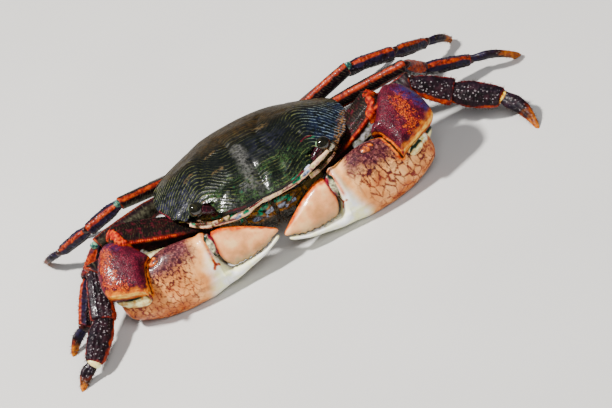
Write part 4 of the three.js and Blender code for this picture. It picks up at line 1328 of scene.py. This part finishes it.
# A bristle's faces, from its ten points, and the place of each corner on its patch.
WALLS = [(r, t, (t + 1) % 3) for r in (0, 1) for t in range(3)]
WALL_FACES = [[3 * r + t, 3 * r + u, 3 * r + 3 + u, 3 * r + 3 + t] for r, t, u in WALLS]
WALL_UVS = [[(t / 3, r / 3), ((t + 1) / 3, r / 3), ((t + 1) / 3, (r + 1) / 3), (t / 3, (r + 1) / 3)]
            for r, t, _ in WALLS]
TIP_FACES = [[6 + t, 6 + (t + 1) % 3, 9] for t in range(3)]
TIP_UVS = [[(t / 3, 0.67), ((t + 1) / 3, 0.67), (t / 3 + 0.16, 1.0)] for t in range(3)]
ROOT_FACE, ROOT_UVS = [2, 1, 0], [(0, 0), (0.3, 0), (0.15, 0.3)]
BRISTLE_FACES = [*WALL_FACES, *TIP_FACES, ROOT_FACE]
BRISTLE_CORNERS = np.concatenate(BRISTLE_FACES)
BRISTLE_UVS = TUFT_PATCH * np.concatenate([*WALL_UVS, *TIP_UVS, ROOT_UVS])
BRISTLE_SIZES = [len(f) for f in BRISTLE_FACES]


def bristle(rng, root, normal, length, radius, lean):
    """The ten points of one tapered, bent bristle."""
    way = unit(normal + np.asarray(lean) + 0.25 * rng.normal(size=3))
    side = unit(np.cross(way, [0.3, 0.5, 0.8]))
    other = np.cross(way, side)
    bend = 0.22 * rng.normal(size=2) @ np.array([side, other])
    tall = length * rng.uniform(0.65, 1.2)
    points = []
    for up, wide in BRISTLE_RINGS:
        middle = root + way * tall * up + bend * tall * up * up
        points += [middle + radius * wide * (t[0] * side + t[1] * other) for t in TRIANGLE]
    points = np.array(points + [root + way * tall + bend * tall])
    points[:, 2] = np.maximum(points[:, 2], 0.01)
    return points


def bristles(name, groups, material, seed):
    """Bristles as one solid mesh. Each group: grid, chance map, count, length, radius, lean direction."""
    rng = np.random.default_rng(seed)
    verts, uvs = [], []
    for g, chance, count, length, radius, lean in groups:
        rows, cols = g.p.shape[:2]
        weight = np.clip(np.broadcast_to(chance, (rows, cols)), 0, None).ravel()
        count = min(count, int((weight > 0).sum()))
        picks = rng.choice(rows * cols, size=count, replace=False, p=weight / weight.sum())
        normals, places = g.raw_normals().reshape(-1, 3), g.p.reshape(-1, 3)
        for k in picks:
            row, col = divmod(int(k), cols)
            verts.append(bristle(rng, places[k], normals[k], length, radius, lean))
            uvs.append(np.array([col / cols, row / (rows - 1)]) * UV_SHARE + UV_CORNER + BRISTLE_UVS)
    first = 10 * np.arange(len(verts))
    flat, sizes = (first[:, None] + BRISTLE_CORNERS).ravel(), np.tile(BRISTLE_SIZES, len(verts))
    ob = mesh_object(name, np.vstack(verts), flat, sizes, material, uv=np.vstack(uvs))
    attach(ob, "root")


# ---------------------------------------------------------------- the body's colours

def paint_carapace(g):
    x, y = g.p[..., 0], g.p[..., 1]
    drop = g.values["drop"]
    top = (drop <= 0) * 1.0
    draw(g, BACK_LINES)
    socket, band = along_line(g, SOCKET_LINE, 0.16, 0.6, 5), along_line(g, FRONT_LINE, 0.62, 0.6)
    g.keep(emerald=g.values["emerald"] + 0.6 * socket, band=band)
    side_blue = step(10, 14.5, x) * step(5, -1, y) * step(-9.5, -7, y)
    blue = top * (side_blue + 0.6 * along_line(g, BLUE_LINES[0], 2.0) + along_line(g, BLUE_LINES[1], 1.2))
    violet = step(9, 14, -x) * step(3, -3, y) + 0.6 * bell(x, 4, 4) * bell(y, -3, 3)
    pale = [step(width, inner, g.near_line(line) + 0.6 * noise(g.p, 1.4, seed))
            for line, width, inner, seed in zip(PALE_LINES, (1.7, 1.6), (0.1, 0.2), (8, 7))]
    g.keep(olive=top * step(0.0, 5.5, y - 0.1 * np.abs(x) + 1.6 * noise(g.p, 3, 2)), blue=np.clip(blue, 0, 1),
           violet=top * np.clip(violet, 0, 1), pale=np.clip(top * (pale[0] + 0.5 * pale[1]), 0, 1))
    front, mouth = step(-6, -9, y), step(0.14, 0.24, drop) * step(9.3, 7.8, np.abs(x))
    g.keep(green=top * step(-5.5, -9.0, y + 1.2 * noise(g.p, 2.4, 9)) * step(13, 9.5, np.abs(x)),
           cheek=step(0.3, 0.42, drop) * (1 - step(9.0, 7.5, np.abs(x)) * front), mouth=mouth * front)


BACKWARD = np.array([0, 1.0, 0])
RIDGE_DEPTH = [[0, -13.35], [8.2, -13.1], [10.4, -12.75], [12.6, -11.95], [14.4, -10.95], [18, -8.6]]


def make_front_ridge():
    """The ridge below the front and the eyes, from one side to the other."""
    pixels = spline(FRONT_LINE, 60)
    x = np.zeros(60)
    for _ in range(6):
        planes = [np.array([0, y, 0.0]) for y in table(RIDGE_DEPTH, np.abs(x))[0]]
        spots = np.array([on_plane([q], plane, BACKWARD)[0] for q, plane in zip(pixels, planes)])
        x = spots[:, 0]
    g = tube("front_ridge", spots[::3], [0.34, 0.56, 0.62, 0.6, 0.58, 0.5, 0.32], 40, 260)
    g.push(0.05 * fbm(g.p, 0.9, 3, 95))
    draw(g, RIDGE_LINES)
    bare = (1 - g.values["emerald"]) * (1 - g.values["lilac"])
    return g.keep(band=step(-0.75, -0.3, noise(g.p, 1.3, 96)) * bare)


# ---------------------------------------------------------------- the claws' colours

def cracks(places, size, seed, outer, inner, jitter=0.9):
    """1 along the walls of cells of that size."""
    f1, f2 = cells(places, size, seed, jitter)
    return step(outer, inner, f2 - f1)


def paint_palm(g, marks, axes):
    origin, along, up, out = axes
    d, h = g.pick("d h")
    depth = (g.p - origin) @ out
    wobble, small = noise(g.p, 2.5, 71), noise(g.p, 0.9, 73)
    local = np.stack([d + 0.25 * small, (h + 0.3 * small) * marks["net_flat"], depth], -1)
    heel = np.stack([d, h * 0.22, depth], -1)
    net = cracks(local, marks["net_size"], 72, 0.15, 0.06, 0.85)
    net = net + cracks(heel, 0.9, 74, 0.1, 0.03) * step(6, 3.5, d + wobble) * step(3, 0, h)
    veins = cracks(np.stack([d * 1.1, (h + 0.3 * small) * 0.75, depth], -1), 0.75, 78, 0.16, 0.05)
    purple = step(0.8, 4.2, h + 0.8 * wobble + 0.4 * small) * step(18.0, 15.0, d + wobble) * step(0.5, 3.5, d)
    lower = step(-1.8, 2.0, h + wobble + 0.6 * small) * step(16.5, 13.0, d + wobble) * step(0.5, 4, d)
    g.keep(veins=veins, purple=0.92 * purple, purple2=lower,
           net=np.clip(net, 0, 1) * step(17, 14.5, d + 1.2 * wobble - 0.2 * h) * step(-5.9, -4.9, h),
           white=step(15.2, 18.2, d - 0.3 * (h + 5) + 0.8 * wobble),
           orange=np.clip(step(-1.5, -5, h) * step(14, 10, d) + step(2.5, 0.5, d), 0, 1),
           green=along_line(g, marks["strip"], 0.42, 0.6), cream=along_line(g, marks["cream"], 0.9, 0.4))
    rim = np.clip(0.9 * bell(d, 19.4, 0.42) * step(0.2, 1.2, h) + along_line(g, marks["lip"], 0.75), 0, 1)
    # Painted shade in the gap along the lip, between the wrist and the palm.
    dark = along_line(g, marks["lip"], 0.3)
    # The knob that the wrist turns on, in a groove.
    at = g.p - g.at_pixel(*marks["condyle"])
    oval = np.sqrt((at @ along / 1.35) ** 2 + (at @ up / 0.75) ** 2 + (at @ out / 1.4) ** 2)
    g.push(0.16 * step(1.0, 0.6, oval) - 0.12 * bell(oval, 1.12, 0.14))
    rim = rim + step(1.0, 0.85, oval) * step(-0.5, 0.4, noise(g.p, 0.5, 75))
    rim = rim + sum(along_line(g, line, 0.36) for line in marks["mark"])
    crimson = 0.7 * sum(along_line(g, line, 0.2) for line in marks["mark"])
    # The knob's groove gets a ring of painted shade.
    g.keep(rim=np.clip(rim, 0, 1), dark=np.clip(dark + 0.8 * bell(oval, 1.12, 0.12), 0, 1),
           crimson=np.clip(crimson, 0, 1))


def paint_finger(g):
    d, h, v = g.pick("d h v")
    ragged = 0.1 * noise(g.p, 0.8, 76)
    g.keep(orange=np.clip(step(0.72, 0.98, v + ragged) + 0.8 * step(21.6, 20.9, d), 0, 1),
           grey=step(-0.35, -0.95, v + ragged) * 0.8,
           crimson=step(21.3, 20.8, d + 3 * ragged) * step(0.5, 2, h))


def paint_wrist(g, marks):
    far, near = along_line(g, marks["far"], 1.8, 0.3, 4), along_line(g, marks["near"], 0.62, 0.4, 4)
    tooth = np.linalg.norm(g.p - g.at_pixel(*marks["tooth"]), axis=-1)
    g.keep(cream=along_line(g, marks["far"], 0.75, 0.3), edge=np.clip(far + near, 0, 1),
           violet=along_line(g, marks["violet"], 2.2, 0.2) * marks["violet_share"],
           mottle=along_line(g, marks["orange"], 3.0, 0.1) - 0.15, crimson=step(0.75, 0.35, tooth))


def paint_arm(g, marks):
    keel, s, lobe = g.pick("keel s lobe")
    orange = np.clip(keel * step(0.3, 0.45, s) + lobe, 0, 1)
    g.keep(orange=orange, pale=along_line(g, marks["under"], 0.9) * (1 - np.clip(orange * 1.5, 0, 1)))


def claw_skins(side, axes):
    """Skin that shows at the finger's joint, between the wrist and the palm, and at the elbow."""
    marks, claw, (origin, along, up, out) = CLAW_MARKS[side], CLAWS[side], axes
    hinge = origin + 20.15 * along + 3.1 * up + 1.7 * out
    pad = joint_pad(f"finger_joint_{side}", hinge, (out, along, up), (0.72, 1.05, 2.3))
    c, s = pad.pick("c s")
    rim = step(0.5, 0.72, np.hypot(c, s))
    yield pad.keep(green=rim * step(0.35, 0.0, c), crimson=rim * step(0.0, 0.35, c))

    far, tooth = np.array(claw["carpus"][2]), np.array(claw["carpus"][3])
    edge = unit(far - tooth)
    outer = unit(out - (out @ edge) * edge)
    place = (far * 0.5 + tooth * 0.5) + [-0.25, 0, -1.6] - 0.75 * outer
    pad = joint_pad(f"wrist_joint_{side}", place, (edge, outer, np.cross(edge, outer)), (3.7, 1.0, 1.35))
    yield pad.keep(cream=1.0, green=along_line(pad, marks["skin"], 0.5))

    place = np.array(claw["elbow"]) + 0.3 * out - 0.6 * up
    yield joint_pad(f"elbow_joint_{side}", place, (out, along, up), (1.9, 1.7, 1.9))
    normal = unit([0, -0.45, 0.9])
    outline = spline(on_plane(marks["fold"], np.array(marks["fold_place"]), normal), 160, closed=True)
    yield blade(f"elbow_fold_{side}", outline, normal, 0.3, 0.9).keep(cream=0.4)


# ---------------------------------------------------------------- the legs' colours

ROUGH_SKIN = (("right", 2), ("right", 3))        # legs whose upper segment shows a pale grey side
JOINT_SKINS = {("left", 1, "ankle"): "amber", ("left", 3, "knee"): "teal", ("right", 1, "ankle"): "cream",
               ("right", 1, "shin"): "cream", ("right", 2, "knee"): "teal", ("right", 3, "knee"): "teal"}
JOINT_SIZES = (("knee", 1.75), ("shin", 1.75), ("ankle", 1.35))


def paint_leg(g, side, number, name):
    """Colours of one segment: its upper edge (crest) and lower edge (foot) are red or orange."""
    v, s, x = g.pick("v s x")
    ragged = 0.12 * noise(g.p, 0.9, 90 + number)
    crest, foot = step(0.9, 0.99, v + 0.5 * ragged), step(-0.86, -0.97, v + ragged)
    if number == 1 and name != "dactyl":
        low = -0.62 if name == "carpus" else -0.84
        foot = step(low, low - 0.12, v + ragged)
    rim = 0.7 * step(g.length - 0.4 * g.scale, g.length - 0.15 * g.scale, x + 2 * ragged)
    if name == "merus":
        if (side, number) in ROUGH_SKIN:
            g.keep(grey=0.9 * step(0.8, 0.5, v) * step(-0.9, -0.6, v))
        if (side, number) == ("right", 2):
            crest, foot = 0.3 * crest, step(-0.4, -0.6, v + ragged)
        both, none = np.maximum(crest, foot), 0 * v
        red, orange = ((both, none), (foot, crest), (none, both), (none, both))[number - 1]
        if (side, number) == ("left", 2):
            orange = np.clip(orange + bell(v, 0.15, 0.12), 0, 1)
        g.keep(stripes=g.values["lines"] * step(-0.3, 0.3, v), red=red, orange=np.clip(orange + rim, 0, 1))
    elif name == "dactyl":
        orange = 0.8 * step(0.45, 0.8, s + 2 * ragged) * step(0.4, 0.8, np.abs(v))
        # The first leg's dactyl gets painted glints along its sides.
        g.keep(tip=step(0.55, 0.9, s + ragged), orange=orange,
               blue=step(0.6, 0.2, s) * (0.2 if number == 1 else 0.8),
               specks=0.7 * step(0.8, 0.5, np.abs(v)) * (number == 1))
    else:
        if name == "carpus" and number == 2:
            oval = np.hypot((s - 0.5) / 0.4, (v - 0.72) / 0.34)
            crest = np.clip(crest * 0.3 + step(1.0, 0.8, oval + ragged), 0, 1)
        red, orange = (crest, foot) if number == 1 else (foot, crest)
        # Painted glints along the sides, full on the first leg and fainter on the others.
        g.keep(red=np.clip(red + rim, 0, 1), orange=orange,
               blue=step(0.0, 0.6, v) * (0.1 if number == 1 else 0.8),
               specks=step(0.75, 0.45, np.abs(v)) * (1.0 if number == 1 else 0.35))


def leg_bristles(g, name):
    """Where a segment's bristles stand, their count, length, radius and lean; the first segment has none."""
    s, v = g.pick("s v")
    if name == "merus":
        return []
    if name == "dactyl":
        rows = step(0.25, 0.5, np.abs(v) % 0.5) * step(0.05, 0.2, s) * step(0.95, 0.85, s)
        return [(g, rows, 70, 0.42 * g.scale, 0.055 * g.scale, 0.9 * g.along)]
    return [(g, (np.abs(v) > 0.93) * step(0.2, 0.4, s), 60, 0.6 * g.scale, 0.035 * g.scale, 0.8 * g.along)]


# ---------------------------------------------------------------- the crab

def add_body():
    """Shell, front ridge and underside; returns where the cheeks' bristles stand."""
    shell = make_carapace()
    paint_carapace(shell)
    grid_mesh(shell, carapace_material(), ["carapace"])
    grid_mesh(make_front_ridge(), face_look)
    under = plain_material("breast_shell", "3c331c 83703b", 1.6, 0.45)
    grid_mesh(make_thorax(), under, ["thorax"])
    grid_mesh(make_abdomen(), under, ["abdomen"])
    drop = shell.values["drop"]
    where = step(0.35, 0.6, drop) * step(0.98, 0.9, drop) * step(-3, -7, shell.p[..., 1])
    return [(shell, where, 700, 0.55, 0.03, (0, 0, -0.4))]


def add_claw(side):
    axes, marks = claw_frame(CLAWS[side]), CLAW_MARKS[side]
    palm, finger, wrist, arm = (make(side) for make in (make_palm, make_finger, make_carpus, make_arm))
    paint_palm(palm, marks, axes)
    paint_finger(finger)
    paint_wrist(wrist, marks)
    paint_arm(arm, marks)
    hinge, *skins = claw_skins(side, axes)
    grid_mesh(palm, palm_look, [f"claw_palm_{side}"])
    grid_mesh(hinge, skin_look)
    grid_mesh(finger, finger_look, [f"claw_finger_{side}"])
    grid_mesh(wrist, wrist_look, [f"claw_carpus_{side}"])
    grid_mesh(arm, arm_look, [f"claw_arm_{side}"])
    for skin in skins:
        grid_mesh(skin, skin_look)


def add_face(side):
    """Eye, stalk, antenna and mouth of one side; returns where the mouth plate's bristles stand."""
    grid_mesh(make_eye(side), eye_look, [f"eye_{side}"])
    grid_mesh(make_stalk(side), stalk_look, [f"eyestalk_{side}"])
    grid_mesh(make_antenna(side), face_look, [f"antenna_{side}"])
    plate = make_mouth_plate(side)
    grid_mesh(plate, face_look, [f"mouth_plate_{side}"])
    for name, (path, radii) in MOUTH_RODS.items():
        grid_mesh(make_mouth_rod(name, path, radii, side), face_look)
    rise, reach = plate.pick("rise reach")
    return [(plate, (rise > 0) * step(0.9, 0.96, reach), 110, 0.7, 0.03, (0, -0.3, -0.4))]


def add_leg(side, number):
    """One leg and the skins of its joints; returns where its bristles stand."""
    joints, parts = leg_parts(side, number)
    scale = LEG_SCALE[number - 1]
    where = []
    for index, (name, g) in enumerate(parts.items()):
        leg_relief(g, name, 100 * number + 10 * index + (side == "left"))
        paint_leg(g, side, number, name)
        where += leg_bristles(g, name)
        grid_mesh(g, leg_look, [f"leg_{number}_{name}_{side}"])
    for joint, g, (name, reach) in zip(joints[1:4], list(parts.values())[1:], JOINT_SIZES):
        radii = (0.9 * scale, 0.8 * scale, reach * scale)
        colour = JOINT_SKINS.get((side, number, name), "shadow")
        pad = joint_pad(f"leg_{number}_{name}_{side}", joint, (g.along, g.thick, g.up), radii)
        grid_mesh(pad.keep(**{colour: 1.0}), skin_look)
    return where


bristle_look = plain_material("bristle_horn", "1e120a 513c21", 0.6, 0.4)
eye_look, stalk_look, face_look = eye_material(), stalk_material(), face_material()
palm_look, finger_look, wrist_look = palm_material(), finger_material(), wrist_material()
arm_look, skin_look = arm_material(), membrane_material()
leg_look = leg_material()

face_bristles = add_body()
for side in SIDES:
    add_claw(side)
    face_bristles += add_face(side)
leg_groups = [group for side in SIDES for number in (1, 2, 3, 4) for group in add_leg(side, number)]
bristles("leg_bristles", leg_groups, bristle_look, 5)
bristles("face_bristles", face_bristles, bristle_look, 6)


# ---------------------------------------------------------------- floor, light and camera

FLOOR_HALF = 1600.0      # mm
FLOOR_POINTS = 24
SENSOR = 36.0            # mm
LAMP_TARGET = Vector((0, 0, 0.008))
FLOOR_COLOURS = ((0.52, 0.51, 0.49), (0.56, 0.55, 0.53))


def stage_floor():
    line = np.linspace(-FLOOR_HALF, FLOOR_HALF, FLOOR_POINTS)
    x, y = np.meshgrid(line, line)
    verts = np.stack([x, y, 0 * x], -1).reshape(-1, 3) - SHIFT * FLAT
    index = np.arange(FLOOR_POINTS ** 2).reshape(FLOOR_POINTS, FLOOR_POINTS)
    quads = np.stack([index[:-1, :-1], index[:-1, 1:], index[1:, 1:], index[1:, :-1]], -1).reshape(-1, 4)
    n = Nodes("pale_floor")
    n.colour = n.ramp(n.noise(60, 2), MIDDLE_OF_NOISE, FLOOR_COLOURS)
    ob = mesh_object("studio_floor", verts, quads.ravel(), np.full(len(quads), 4), n.finish(0.8))


def light(name, position, size, power, colour, shine=True):
    """A round lamp that looks at the crab; without shine it makes no highlights."""
    data = bpy.data.lights.new(name, "AREA")
    data.shape, data.size, data.energy, data.color = "DISK", size, power, colour
    ob = bpy.data.objects.new(name, data)
    ob.location = position
    ob.rotation_euler = (LAMP_TARGET - Vector(position)).to_track_quat("-Z", "Y").to_euler()
    ob.visible_glossy = shine
    bpy.context.scene.collection.objects.link(ob)


def sky(colour, strength):
    world = bpy.data.worlds.new("studio")
    world.use_nodes = True
    background = world.node_tree.nodes["Background"]
    background.inputs[0].default_value = (*colour, 1)
    background.inputs[1].default_value = strength
    bpy.context.scene.world = world


def place_camera():
    data = bpy.data.cameras.new("camera")
    data.sensor_width = SENSOR
    data.lens = FOCAL_PX / FRAME_WIDTH * SENSOR
    data.clip_start, data.clip_end = 0.01, 10
    camera = bpy.data.objects.new("camera", data)
    turn = Matrix([list(v) for v in (CAM_R, CAM_U, -CAM_D)]).transposed().to_4x4()
    turn.translation = [float(q) for q in (CAM_POS + SHIFT) / 1000]
    camera.matrix_world = turn
    bpy.context.scene.collection.objects.link(camera)
    bpy.context.scene.camera = camera


stage_floor()
light("key", (-0.30, 0.02, 0.56), 0.075, 11.5, (1.0, 0.975, 0.94))
light("fill", (0.12, -0.5, 0.5), 0.55, 4.5, (0.98, 0.98, 1.0), shine=False)
sky((0.9, 0.93, 1.0), 0.1)
place_camera()
